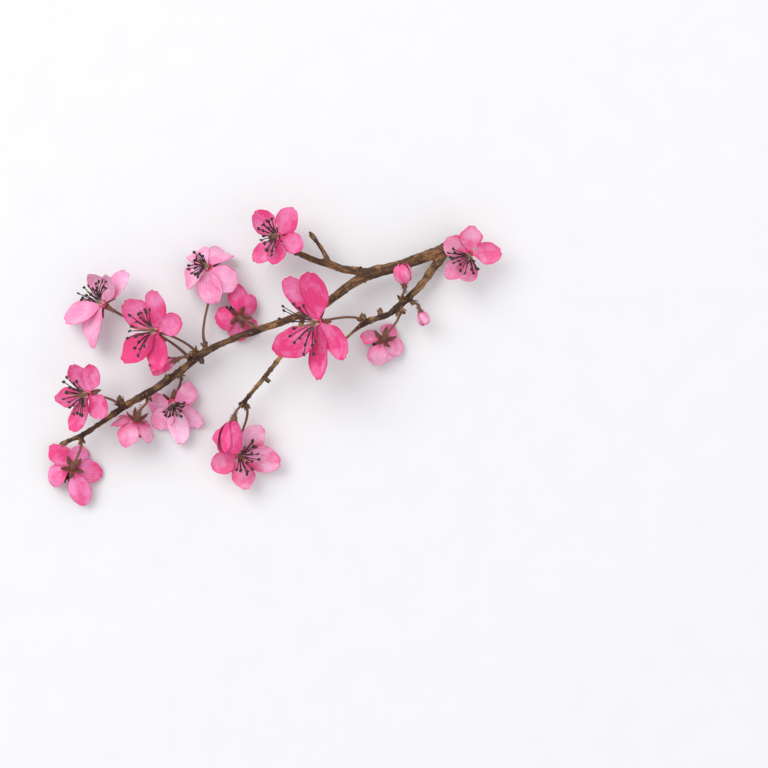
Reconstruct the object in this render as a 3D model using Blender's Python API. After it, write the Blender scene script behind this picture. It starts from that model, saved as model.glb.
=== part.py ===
"""Cherry blossom sprig: one cut branchlet with its twigs, open blossoms and buds, lying on a table.

The sprig lies along X with its cut end at +X and its tip at -X, and the table is the plane Z = 0. Every table
below is in millimetres; the last step of each mesh turns them into metres. The wood is one piece. Each open
blossom is a stalk with its sepals, a crown of five petals, a crown of stamens and a pistil. Each bud is a
stalk with its sepals and the folded petals. Pieces that touch keep GAP between them.
"""

import math
from collections import namedtuple

import bmesh
import bpy
from mathutils import Quaternion, Vector

MM = 0.001
GAP = 0.3
# The middle of the sprig's box, which becomes the origin
MIDDLE = (0.6, 2.2, 0.0)
# Faces that meet at less than this many degrees are shaded as one smooth surface
SMOOTH_ANGLE = 50.0

# Wood
BARK_SIDES = 8
BARK_STEP = 4.2
CUT_SLOPE = 0.55
KNOB_SIDES = 6
KNOB_SHARES = (0.0, 0.55, 0.85, 1.0)
KNOB_TAPER = (1.0, 1.0, 0.7, 0.25)
SPUR_SIDES = 7
SPUR_RADII = (1.15, 1.035)
SPUR_STANDS = 1.1
SPUR_SQUARE = 0.75

# Stalk, calyx cup and sepals
STALK_RADIUS = 0.65
STALK_RINGS = 6
STALK_SIDES = 5
CUP_LENGTH = 4.4
CUP_RADII = (0.75, 1.35, 1.45, 1.95)
CUP_SHARES = (0.3, 0.72, 1.0)
BUD_CUP = 0.65
SEPAL_LENGTH = 4.2
SEPAL_FALL = 0.75
SEPAL_TIP = 0.3

# Petal crown
PETAL_THICKNESS = 0.6
PETAL_STAGGER = 0.12
RIM_THICKNESS = 0.9
RIM_INNER = 1.0
RIM_OUTER = 2.1
RIM_SIDES = 10
CLAW_AT = 1.6
PETAL_BOW = 0.5
PETAL_CURL = 0.22
PETAL_NOTCH = 0.08
PETAL_ROWS = ((0.0, 0.22), (0.36, 0.8), (0.7, 1.0), (1.0, 0.52))

# Stamens and pistil
STAMENS = 7
STAMEN_CROWN_INNER = 0.75
STAMEN_CROWN_OUTER = 1.55
STAMEN_CROWN_HEIGHT = 0.5
FILAMENT_SIDES = 3
FILAMENT_RADII = (0.32, 0.28, 0.26, 0.6)
FILAMENT_SHARES = (0.0, 0.45, 0.88, 1.0)
FILAMENT_BOW = 0.4
# How far every other stamen leans, as a share of the fan's spread
FAN_LEANS = (0.62, 1.0)
PISTIL_SIDES = 4
PISTIL_RADII = (0.45, 0.3, 0.26, 0.5)
PISTIL_SHARES = (0.0, 0.3, 0.93, 1.0)
PISTIL_REACH = 0.9
PISTIL_LEAN = 0.4
PISTIL_BOW = 0.5

# Folded petals of a bud, as (share of the length, share of the radius)
BUD_SIDES = 10
BUD_PROFILE = ((0.0, 0.4), (0.18, 0.82), (0.42, 1.0), (0.68, 0.86), (0.88, 0.5), (1.0, 0.14))
BUD_FOLD = 0.1
BUD_TWIST = 0.9

# Limbs as (x, y, z, radius) from the thick end to the thin end. Each after the first starts inside another.
LIMBS = {
    "main": (
        (91.0, 57.8, 2.7, 2.7), (79.2, 52.2, 4.6, 2.7), (67.0, 47.2, 7.6, 2.6), (55.8, 43.2, 10.4, 2.6),
        (45.5, 40.5, 12.2, 2.8), (36.5, 35.6, 13.2, 2.1), (27.9, 29.2, 13.6, 1.95), (19.4, 23.8, 13.6, 1.8),
        (9.5, 20.2, 13.4, 1.8), (0.5, 16.9, 13.2, 1.6), (-7.2, 14.4, 13.0, 1.8), (-16.2, 11.2, 12.8, 1.5),
        (-25.2, 7.2, 12.6, 1.5), (-32.2, 3.4, 12.4, 2.0), (-38.7, -2.0, 12.1, 1.6), (-47.7, -8.6, 11.8, 1.8),
        (-55.4, -13.5, 11.5, 1.8), (-63.5, -18.0, 11.2, 1.6), (-70.2, -22.4, 10.9, 1.4),
        (-77.0, -27.2, 10.6, 1.1), (-86.0, -32.8, 10.4, 1.3), (-95.0, -36.2, 10.0, 0.7),
    ),
    "upper": (
        (45.5, 40.6, 12.2, 2.2), (39.4, 41.4, 12.0, 1.9), (31.2, 42.6, 11.4, 1.7), (26.1, 44.6, 11.0, 1.8),
        (21.1, 45.8, 10.6, 1.4), (16.0, 47.8, 10.2, 1.35), (11.0, 50.1, 9.8, 1.1), (7.6, 51.8, 9.6, 1.1),
    ),
    "side": (
        (26.1, 44.7, 11.0, 1.4), (23.6, 50.2, 11.6, 1.1), (20.5, 54.6, 12.4, 0.9), (17.4, 59.0, 13.0, 0.6),
    ),
    "right": (
        (80.1, 52.8, 4.6, 2.0), (77.6, 49.0, 5.6, 2.1), (73.5, 43.6, 6.8, 2.0), (68.2, 36.0, 8.4, 1.7),
        (61.8, 29.4, 9.8, 1.5), (56.9, 25.2, 10.8, 1.6), (53.0, 22.0, 11.2, 1.3), (46.6, 19.8, 11.6, 1.4),
        (42.4, 18.2, 11.6, 1.5), (37.6, 14.6, 11.2, 0.9), (33.0, 10.4, 10.8, 0.6),
    ),
    "lower": (
        (15.4, 22.2, 13.4, 1.3), (11.8, 13.5, 12.8, 1.15), (4.6, 3.3, 12.0, 1.1), (-3.2, -6.6, 11.4, 1.0),
        (-9.6, -14.4, 11.0, 1.05), (-14.0, -19.8, 10.8, 1.3),
    ),
}

# Resting buds of next year and short stubs, as limb, place on it, direction, length and radius.
KNOBS = (
    ("main", (-66.0, -19.6), (-0.15, 0.9, 0.4), 4.6, 1.3),
    ("main", (-31.4, 3.9), (0.35, -0.8, 0.4), 2.6, 1.2),
    ("main", (-49.6, -9.8), (0.35, 0.75, 0.5), 2.8, 1.2),
    ("main", (41.0, 38.6), (-0.2, 0.75, 0.6), 3.4, 1.4),
    ("main", (-93.0, -35.6), (-0.7, -0.45, 0.3), 3.6, 1.0),
    ("right", (43.4, 18.7), (-0.25, 0.8, 0.5), 3.4, 1.1),
    ("right", (55.4, 23.8), (0.75, -0.5, 0.3), 3.2, 0.9),
    ("right", (51.0, 21.3), (-0.3, 0.85, 0.3), 2.8, 1.2),
    ("side", (17.6, 58.6), (-0.55, 0.8, 0.3), 3.6, 1.0),
    ("lower", (-3.6, -7.0), (0.75, -0.5, 0.4), 2.6, 0.9),
)

Petal = namedtuple("Petal", "azimuth rise length width")
Fan = namedtuple("Fan", "azimuth rise spread length")
Blossom = namedtuple("Blossom", "tone limb root hub facing fan pistil petals")
Bud = namedtuple("Bud", "tone limb root hub facing length radius")

# Petals and stamen fans point by azimuth from +X towards +Y and by rise above the table, in degrees.
BLOSSOMS = {
    "blossom_01": Blossom(
        "deep", "main", (-87.0, -33.3), (-90.0, -47.7, 7.9), (-0.20, -0.30, -0.93),
        Fan(-115, -38, 26, 8.0), True,
        (Petal(-78, -12, 18.5, 11.0), Petal(-12, -26, 14.5, 11.0), Petal(62, -32, 12.5, 10.5),
         Petal(135, -20, 16.0, 10.5), Petal(203, -22, 14.0, 11.0)),
    ),
    "blossom_02": Blossom(
        "deep", "main", (-68.4, -21.0), (-81.3, -14.2, 20.0), (-0.35, 0.05, 0.93),
        Fan(195, 54, 42, 12.5), True,
        (Petal(117, 17, 15.5, 9.5), Petal(80, 26, 15.5, 10.0), Petal(189, 8, 14.5, 10.0),
         Petal(-109, 5, 18.0, 10.0), Petal(-45, 30, 15.5, 12.0)),
    ),
    "blossom_03": Blossom(
        "pale", "main", (-35.6, 1.0), (-76.0, 26.6, 10.5), (-0.50, 0.35, 0.79),
        Fan(118, 56, 26, 14.0), True,
        (Petal(203, -10, 20.0, 11.5), Petal(-106, -8, 20.5, 12.0), Petal(116, 22, 15.5, 10.5),
         Petal(78, 32, 15.5, 9.5), Petal(52, 10, 19.0, 10.5)),
    ),
    "blossom_04": Blossom(
        "mid", "main", (-54.6, -13.0), (-60.6, -26.0, 12.5), (-0.35, -0.80, -0.49),
        Fan(-112, -34, 22, 9.0), False,
        (Petal(-117, 12, 13.0, 10.5), Petal(-60, -2, 12.0, 9.5), Petal(-42, -56, 12.0, 9.0),
         Petal(178, -56, 12.0, 9.0), Petal(-170, -4, 11.5, 9.5)),
    ),
    "blossom_05": Blossom(
        "pale", "main", (-40.6, -3.4), (-45.0, -18.0, 6.8), (-0.10, -0.50, 0.86),
        Fan(-60, 58, 32, 9.5), True,
        (Petal(-36, -8, 17.5, 12.5), Petal(-78, -4, 19.5, 11.5), Petal(-122, -18, 15.5, 11.0),
         Petal(168, -22, 13.5, 11.0), Petal(42, -20, 13.0, 10.5)),
    ),
    "blossom_06": Blossom(
        "deep", "main", (-31.4, 3.8), (-50.6, 14.0, 21.0), (-0.40, 0.10, 0.91),
        Fan(172, 52, 42, 14.5), True,
        (Petal(92, 18, 19.0, 10.5), Petal(142, 8, 19.5, 13.0), Petal(222, 3, 20.0, 14.5),
         Petal(27, 40, 18.0, 11.0), Petal(-84, 20, 19.0, 12.5)),
    ),
    "blossom_07": Blossom(
        "pale", "main", (-27.2, 6.3), (-28.0, 43.0, 12.4), (-0.20, 0.34, 0.92),
        Fan(170, 50, 32, 10.0), True,
        (Petal(-82, -2, 17.0, 12.5), Petal(214, -28, 15.0, 12.0), Petal(-38, -4, 15.5, 12.5),
         Petal(128, -50, 16.0, 11.0), Petal(36, -46, 15.0, 11.0)),
    ),
    "blossom_08": Blossom(
        "deep", "main", (-6.4, 14.7), (-14.6, 21.0, 9.0), (-0.25, 0.20, -0.95),
        Fan(175, -42, 26, 9.0), True,
        (Petal(93, -12, 15.5, 10.0), Petal(50, -24, 12.5, 9.5), Petal(187, -14, 11.5, 11.5),
         Petal(-97, -30, 13.0, 11.0), Petal(-50, -34, 12.5, 9.5)),
    ),
    "blossom_09": Blossom(
        "deep", "right", (42.0, 17.9), (21.4, 18.0, 25.0), (-0.42, -0.12, 0.90),
        Fan(200, 50, 42, 17.5), True,
        (Petal(130, 15, 25.0, 11.5), Petal(99, 30, 25.0, 13.5), Petal(-47, 33, 24.0, 12.0),
         Petal(-88, 8, 26.0, 11.5), Petal(-136, 20, 24.5, 17.5)),
    ),
    "blossom_10": Blossom(
        "mid", "lower", (-12.6, -18.2), (-15.0, -41.0, 7.7), (0.25, -0.30, 0.92),
        Fan(-22, 52, 40, 11.5), True,
        (Petal(46, 10, 17.0, 13.0), Petal(-11, 2, 20.0, 13.5), Petal(-73, 14, 17.0, 11.0),
         Petal(212, 12, 14.0, 12.0), Petal(124, -16, 15.0, 11.5)),
    ),
    "blossom_11": Blossom(
        "deep", "upper", (8.6, 51.4), (3.4, 56.4, 16.5), (-0.20, 0.10, 0.97),
        Fan(185, 58, 42, 11.0), True,
        (Petal(-130, 10, 16.0, 10.0), Petal(-94, 32, 15.0, 9.5), Petal(-20, 28, 14.5, 10.0),
         Petal(58, 14, 15.0, 11.5), Petal(138, 8, 15.5, 11.5)),
    ),
    "blossom_12": Blossom(
        "mid", "right", (56.4, 24.8), (50.4, 10.3, 8.0), (-0.25, -0.45, -0.86),
        Fan(-110, -48, 30, 7.0), False,
        (Petal(166, -16, 11.0, 9.5), Petal(-115, -18, 12.5, 10.0), Petal(-75, -34, 11.5, 9.0),
         Petal(-34, -22, 11.5, 9.5), Petal(58, -36, 10.5, 8.5)),
    ),
    "blossom_13": Blossom(
        "mid", "main", (80.6, 52.9), (89.0, 49.0, 13.5), (0.10, -0.30, 0.95),
        Fan(-125, 50, 40, 10.5), True,
        (Petal(-130, 8, 15.5, 10.0), Petal(-92, 28, 14.5, 10.0), Petal(4, 12, 15.0, 11.5),
         Petal(84, 24, 13.5, 11.0), Petal(158, 20, 13.5, 11.5)),
    ),
}

BUDS = {
    "bud_1": Bud("deep", "lower", (-14.0, -19.8), (-16.6, -26.6, 16.4), (-0.18, -0.97, 0.12), 15.5, 4.8),
    "bud_2": Bud("deep", "main", (-33.4, 2.6), (-43.4, 0.9, 17.4), (-0.93, -0.34, 0.10), 12.0, 3.0),
    "bud_3": Bud("mid", "right", (60.2, 27.9), (59.8, 36.4, 15.0), (-0.10, 0.90, 0.42), 9.0, 3.8),
    "bud_4": Bud("mid", "right", (62.4, 30.0), (67.6, 22.6, 10.6), (0.35, -0.92, 0.10), 6.5, 2.4),
}

# Colour, roughness and metallic value of each finish
FINISHES = {
    "bark": ((0.16, 0.09, 0.06), 0.85),
    "calyx": ((0.24, 0.11, 0.08), 0.7),
    "stamen": ((0.06, 0.04, 0.045), 0.6),
    "pistil": ((0.45, 0.40, 0.20), 0.6),
    "petal_deep": ((0.82, 0.10, 0.32), 0.55),
    "petal_mid": ((0.90, 0.30, 0.52), 0.55),
    "petal_pale": ((0.95, 0.58, 0.74), 0.55),
}


def direction(azimuth, rise):
    """The unit vector at this azimuth and rise, in degrees."""
    turn, lift = math.radians(azimuth), math.radians(rise)
    return Vector((math.cos(turn) * math.cos(lift), math.sin(turn) * math.cos(lift), math.sin(lift)))


def across(axis):
    """Two unit vectors square to axis and to each other."""
    side = axis.orthogonal().normalized()
    return side, axis.cross(side)


def ring_points(centre, axis, side, radius, sides, flute=0.0):
    """Points round centre, square to axis, the first one towards side. Flute draws every other one in."""
    other = axis.cross(side)
    points = []
    for k in range(sides):
        angle = math.tau * k / sides
        reach = radius * (1 - flute * (k % 2))
        points.append(centre + (side * math.cos(angle) + other * math.sin(angle)) * reach)
    return points


def loft(rings):
    """A closed bmesh whose skin runs through rings of equal count, with a flat cap at each end."""
    shape = bmesh.new()
    loops = [[shape.verts.new(point) for point in ring] for ring in rings]
    count = len(loops[0])
    for low, high in zip(loops, loops[1:]):
        for k in range(count):
            after = (k + 1) % count
            shape.faces.new((low[k], low[after], high[after], high[k]))
    shape.faces.new(loops[0][::-1])
    shape.faces.new(loops[-1])
    return shape


def tube(points, radii, sides, side=None):
    """A closed tube along points, whose cross-section is carried along without twisting."""
    last = len(points) - 1
    tangents = [(points[min(i + 1, last)] - points[max(i - 1, 0)]).normalized() for i in range(last + 1)]
    side = side or across(tangents[0])[0]
    rings = []
    for point, tangent, radius in zip(points, tangents, radii):
        side = (side - tangent * side.dot(tangent)).normalized()
        rings.append(ring_points(point, tangent, side, radius, sides))
    return loft(rings)


def washer(centre, axis, inner, outer, height, sides):
    """A flat closed ring about axis, from centre upwards."""
    side = across(axis)[0]
    top = centre + axis * height
    corners = ((centre, outer), (top, outer), (top, inner), (centre, inner))
    shape = bmesh.new()
    loops = [[shape.verts.new(p) for p in ring_points(at, axis, side, r, sides)] for at, r in corners]
    for low, high in zip(loops, loops[1:] + loops[:1]):
        for k in range(sides):
            after = (k + 1) % sides
            shape.faces.new((low[k], low[after], high[after], high[k]))
    return shape


def smooth_line(stations, step):
    """Catmull-Rom points about step apart through stations, whose extra values are carried along."""
    ends = [stations[0], *stations, stations[-1]]
    line = []
    for before, start, end, after in zip(ends, ends[1:], ends[2:], ends[3:]):
        pieces = max(1, round((end.xyz - start.xyz).length / step))
        for k in range(pieces):
            t = k / pieces
            line.append(
                0.5 * (2 * start + (end - before) * t + (2 * before - 5 * start + 4 * end - after) * t**2
                       + (3 * start - before - 3 * end + after) * t**3)
            )
    return [*line, stations[-1]]


def arc(start, start_way, end, end_way, pieces):
    """Points on the smooth curve that leaves start along start_way and reaches end along end_way."""
    pull = (end - start).length
    points = []
    for k in range(pieces + 1):
        t = k / pieces
        points.append(
            start * (2 * t**3 - 3 * t**2 + 1) + end * (3 * t**2 - 2 * t**3)
            + (start_way * (t**3 - 2 * t**2 + t) + end_way * (t**3 - t**2)) * pull
        )
    return points


def bend(start, middle, end, share):
    """The point at this share of the curve from start to end that is drawn towards middle."""
    return start * (1 - share) ** 2 + middle * 2 * share * (1 - share) + end * share**2


def shares(start, end, values):
    return [start.lerp(end, value) for value in values]


def make_object(name, shape, finish):
    """Turns a bmesh in millimetres into a named object in metres, with outward faces and smooth shading."""
    bmesh.ops.translate(shape, vec=-Vector(MIDDLE), verts=shape.verts)
    bmesh.ops.scale(shape, vec=(MM, MM, MM), verts=shape.verts)
    bmesh.ops.recalc_face_normals(shape, faces=shape.faces)
    mesh = bpy.data.meshes.new(name)
    shape.to_mesh(mesh)
    shape.free()
    mesh.materials.append(finish)
    mesh.shade_smooth()
    mesh.set_sharp_from_angle(angle=math.radians(SMOOTH_ANGLE))
    made = bpy.data.objects.new(name, mesh)
    bpy.context.scene.collection.objects.link(made)
    return made


def union(name, shapes, finish):
    """One closed body made of overlapping shapes. The solver is MANIFOLD, because the exact one leaves loose
    edges where two petals lie almost in one plane."""
    body = make_object(name, shapes[0], finish)
    tools = [make_object(f"{name}_tool_{k}", shape, finish) for k, shape in enumerate(shapes[1:])]
    for tool in tools:
        joint = body.modifiers.new(tool.name, "BOOLEAN")
        joint.operation = "UNION"
        joint.solver = "MANIFOLD"
        joint.object = tool
    graph = bpy.context.evaluated_depsgraph_get()
    whole = bpy.data.meshes.new_from_object(body.evaluated_get(graph))
    body.modifiers.clear()
    body.data = whole
    for tool in tools:
        bpy.data.objects.remove(tool)
    return body


def make_finishes():
    made = {}
    for name, (colour, roughness) in FINISHES.items():
        finish = bpy.data.materials.new(name)
        finish.use_nodes = True
        shader = finish.node_tree.nodes["Principled BSDF"]
        shader.inputs["Base Color"].default_value = (*colour, 1.0)
        shader.inputs["Roughness"].default_value = roughness
        shader.inputs["Metallic"].default_value = 0.0
        made[name] = finish
    return made


def limb_lines():
    """Each limb's smooth centre line, as vectors of x, y, z and radius."""
    return {name: smooth_line([Vector(s) for s in stations], BARK_STEP) for name, stations in LIMBS.items()}


def nearest(line, place):
    """The centre, radius and run of the limb where it passes closest to place, seen from above."""
    k = min(range(1, len(line) - 1), key=lambda k: (line[k].xy - Vector(place)).length)
    return line[k].xyz, line[k].w, (line[k + 1] - line[k - 1]).xyz.normalized()


def limb_shape(line):
    return tube([station.xyz for station in line], [station.w for station in line], BARK_SIDES)


def slant_cut(shape, line):
    """Slopes the thick end of the main limb, as secateurs leave it."""
    centre, tangent = line[0].xyz, (line[0].xyz - line[1].xyz).normalized()
    side = tangent.cross(Vector((0, 0, 1))).normalized()
    shape.verts.ensure_lookup_table()
    for vertex in shape.verts[:BARK_SIDES]:
        vertex.co += tangent * CUT_SLOPE * (vertex.co - centre).dot(side)


def knob_shape(line, place, way, length, radius):
    centre, girth, _ = nearest(line, place)
    way = Vector(way).normalized()
    tip = centre + way * (girth + length)
    return tube(shares(centre, tip, KNOB_SHARES), [taper * radius for taper in KNOB_TAPER], KNOB_SIDES)


def cup_foot(bloom):
    """The bloom's hub, the way it faces, and the foot of its cup."""
    hub, facing = Vector(bloom.hub), Vector(bloom.facing).normalized()
    length = CUP_LENGTH * (BUD_CUP if isinstance(bloom, Bud) else 1.0)
    return hub, facing, hub - facing * (RIM_THICKNESS / 2 + GAP + length)


def spur_of(lines, bloom):
    """Where the wood's short spur for this bloom starts and ends, and the way that it points: towards the
    bloom, but mostly square to the limb."""
    centre, girth, run = nearest(lines[bloom.limb], bloom.root)
    way = (cup_foot(bloom)[2] - centre).normalized()
    way = (way - run * SPUR_SQUARE * way.dot(run)).normalized()
    return centre, centre + way * (girth + SPUR_STANDS), way


def spur_shape(lines, bloom):
    centre, tip, _ = spur_of(lines, bloom)
    return tube((centre, tip), SPUR_RADII, SPUR_SIDES)


def stalk_shape(lines, bloom):
    """The stalk from its spur to the cup, the cup, and the five sepals drawn out of its rim."""
    _, tip, way = spur_of(lines, bloom)
    hub, facing, foot = cup_foot(bloom)
    rim = hub - facing * (RIM_THICKNESS / 2 + GAP)
    points = arc(tip + way * GAP, way, foot, facing, STALK_RINGS)
    radii = [STALK_RADIUS] * STALK_RINGS + [CUP_RADII[0]]
    points += shares(foot, rim, CUP_SHARES)
    radii += CUP_RADII[1:]
    shape = tube(points, radii, STALK_SIDES)
    shape.faces.ensure_lookup_table()
    last_sides = list(shape.faces[-STALK_SIDES - 2:-2])
    middles = [face.calc_center_median() for face in last_sides]
    drawn = bmesh.ops.extrude_discrete_faces(shape, faces=last_sides)["faces"]
    for face, middle in zip(drawn, middles):
        out = middle - rim
        out = (out - facing * out.dot(facing)).normalized()
        centre = face.calc_center_median()
        for vertex in face.verts:
            vertex.co = centre + (vertex.co - centre) * SEPAL_TIP + (out - facing * SEPAL_FALL) * SEPAL_LENGTH
    return shape


def petal_shape(hub, facing, petal, lift):
    """One petal, from its claw at the rim to its notched tip, with edges that curl towards facing. Its lift
    lays it a little over or under its neighbours."""
    reach = direction(petal.azimuth, petal.rise)
    outward = (reach - facing * reach.dot(facing)).normalized()
    start = hub + outward * CLAW_AT + facing * lift
    end = hub + reach * petal.length
    middle = start + outward * PETAL_BOW * petal.length
    upper, lower = [], []
    for share, breadth in PETAL_ROWS:
        centre = bend(start, middle, end, share)
        after, before = (bend(start, middle, end, share + nudge) for nudge in (0.01, -0.01))
        tangent = (after - before).normalized()
        normal = (facing - tangent * facing.dot(tangent)).normalized()
        side = tangent.cross(normal)
        half = breadth * petal.width / 2
        rise = PETAL_CURL * half
        back = tangent * PETAL_NOTCH * petal.length if share == 1.0 else Vector()
        row = (centre - side * half + normal * rise, centre - back, centre + side * half + normal * rise)
        upper.append([point + normal * PETAL_THICKNESS / 2 for point in row])
        lower.append([point - normal * PETAL_THICKNESS / 2 for point in row])
    return loft([top + bottom[::-1] for top, bottom in zip(upper, lower)])


def petal_crown(name, blossom, finish):
    hub, facing = Vector(blossom.hub), Vector(blossom.facing).normalized()
    foot = hub - facing * RIM_THICKNESS / 2
    shapes = [washer(foot, facing, RIM_INNER, RIM_OUTER, RIM_THICKNESS, RIM_SIDES)]
    for k, petal in enumerate(blossom.petals):
        shapes.append(petal_shape(hub, facing, petal, PETAL_STAGGER * (k * 2 % 5 - 2) / 2))
    return union(name, shapes, finish)


def fan_ways(facing, fan):
    """The way each stamen leans, spread round the fan's middle, and the outward way of its foot."""
    middle = direction(fan.azimuth, fan.rise)
    side, other = across(facing)
    for k in range(STAMENS):
        angle = math.tau * (k + 0.5) / STAMENS
        outward = side * math.cos(angle) + other * math.sin(angle)
        lean = math.tan(math.radians(fan.spread * FAN_LEANS[k % 2]))
        yield (middle + outward * lean).normalized(), outward


def stamen_crown(name, blossom, finish):
    hub, facing = Vector(blossom.hub), Vector(blossom.facing).normalized()
    foot = hub + facing * (RIM_THICKNESS / 2 + GAP)
    crown = washer(foot, facing, STAMEN_CROWN_INNER, STAMEN_CROWN_OUTER, STAMEN_CROWN_HEIGHT, STAMENS)
    shapes = [crown]
    seat = (STAMEN_CROWN_INNER + STAMEN_CROWN_OUTER) / 2
    for way, outward in fan_ways(facing, blossom.fan):
        start = foot + outward * seat + facing * STAMEN_CROWN_HEIGHT / 2
        end = hub + way * blossom.fan.length
        middle = start + facing * FILAMENT_BOW * blossom.fan.length
        points = [bend(start, middle, end, share) for share in FILAMENT_SHARES]
        shapes.append(tube(points, FILAMENT_RADII, FILAMENT_SIDES))
    return union(name, shapes, finish)


def pistil(name, blossom, finish):
    """The style with its swollen foot and its stigma, up through the crowns from the cup."""
    hub, facing = Vector(blossom.hub), Vector(blossom.facing).normalized()
    start = hub - facing * RIM_THICKNESS / 2
    way = facing.lerp(direction(blossom.fan.azimuth, blossom.fan.rise), PISTIL_LEAN)
    end = hub + way * blossom.fan.length * PISTIL_REACH
    middle = start + facing * PISTIL_BOW * blossom.fan.length
    points = [bend(start, middle, end, share) for share in PISTIL_SHARES]
    return make_object(name, tube(points, PISTIL_RADII, PISTIL_SIDES), finish)


def folded_petals(name, bud, finish):
    """The closed petals of a bud: an egg with shallow folds between the wrapped petals."""
    hub, facing = Vector(bud.hub), Vector(bud.facing).normalized()
    side = across(facing)[0]
    start = hub - facing * RIM_THICKNESS / 2
    rings = []
    for share, breadth in BUD_PROFILE:
        turned = Quaternion(facing, BUD_TWIST * share) @ side
        centre = start + facing * share * bud.length
        rings.append(ring_points(centre, facing, turned, breadth * bud.radius, BUD_SIDES, BUD_FOLD))
    return make_object(name, loft(rings), finish)


def branch(lines, finish):
    """The wood of the sprig: all limbs, resting buds and flowering spurs, grown as one."""
    main = limb_shape(lines["main"])
    slant_cut(main, lines["main"])
    shapes = [main]
    shapes += [limb_shape(line) for name, line in lines.items() if name != "main"]
    shapes += [knob_shape(lines[limb], *knob) for limb, *knob in KNOBS]
    shapes += [spur_shape(lines, bloom) for bloom in (*BLOSSOMS.values(), *BUDS.values())]
    return union("branch", shapes, finish)


def main():
    for old in list(bpy.data.objects):
        bpy.data.objects.remove(old)
    finishes = make_finishes()
    lines = limb_lines()
    branch(lines, finishes["bark"])
    for name, blossom in BLOSSOMS.items():
        make_object(f"{name}_calyx", stalk_shape(lines, blossom), finishes["calyx"])
        petal_crown(f"{name}_petals", blossom, finishes[f"petal_{blossom.tone}"])
        stamen_crown(f"{name}_stamens", blossom, finishes["stamen"])
        if blossom.pistil:
            pistil(f"{name}_pistil", blossom, finishes["pistil"])
    for name, bud in BUDS.items():
        make_object(f"{name}_calyx", stalk_shape(lines, bud), finishes["calyx"])
        folded_petals(f"{name}_petals", bud, finishes[f"petal_{bud.tone}"])


main()
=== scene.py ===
"""Cherry blossom sprig: the looks of a cut cherry branchlet that lies on a table.

The wood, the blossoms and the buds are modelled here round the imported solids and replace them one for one.
Lengths in the tables are millimetres, on the axes that the solids had before their box was centred.
"""

import math
import random
from collections import namedtuple
from contextlib import contextmanager

import bmesh
import bpy
import numpy as np
from mathutils import Matrix, Vector


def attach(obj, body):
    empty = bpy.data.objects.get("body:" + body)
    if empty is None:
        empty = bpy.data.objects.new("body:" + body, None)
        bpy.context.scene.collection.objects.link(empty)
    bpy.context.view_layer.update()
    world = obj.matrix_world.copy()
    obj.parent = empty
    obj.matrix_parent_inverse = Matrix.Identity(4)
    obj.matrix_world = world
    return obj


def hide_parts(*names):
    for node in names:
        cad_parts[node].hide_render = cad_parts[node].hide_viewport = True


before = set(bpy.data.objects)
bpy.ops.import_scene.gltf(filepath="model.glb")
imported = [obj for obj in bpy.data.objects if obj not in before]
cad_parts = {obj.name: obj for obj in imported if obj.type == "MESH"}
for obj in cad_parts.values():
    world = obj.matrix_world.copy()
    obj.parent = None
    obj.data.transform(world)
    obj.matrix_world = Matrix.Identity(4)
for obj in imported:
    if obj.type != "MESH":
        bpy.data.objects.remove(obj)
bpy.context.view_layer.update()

bl_info = {
    "name": "Cherry Blossom Sprig",
    "version": (1, 0, 0),
    "blender": (4, 5, 0),
    "location": "View3D > Sidebar > Sprig",
    "description": "Models a cut sprig of cherry blossom: wood, blossoms, buds and the table it lies on",
    "category": "Add Mesh",
}

BODY = "root"
MM = 0.001
# The middle of the solids' box, in the tables' millimetres
MIDDLE = Vector((0.6, 2.2, 0.0))

# --- Where everything grows -------------------------------------------------------------------------------

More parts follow.
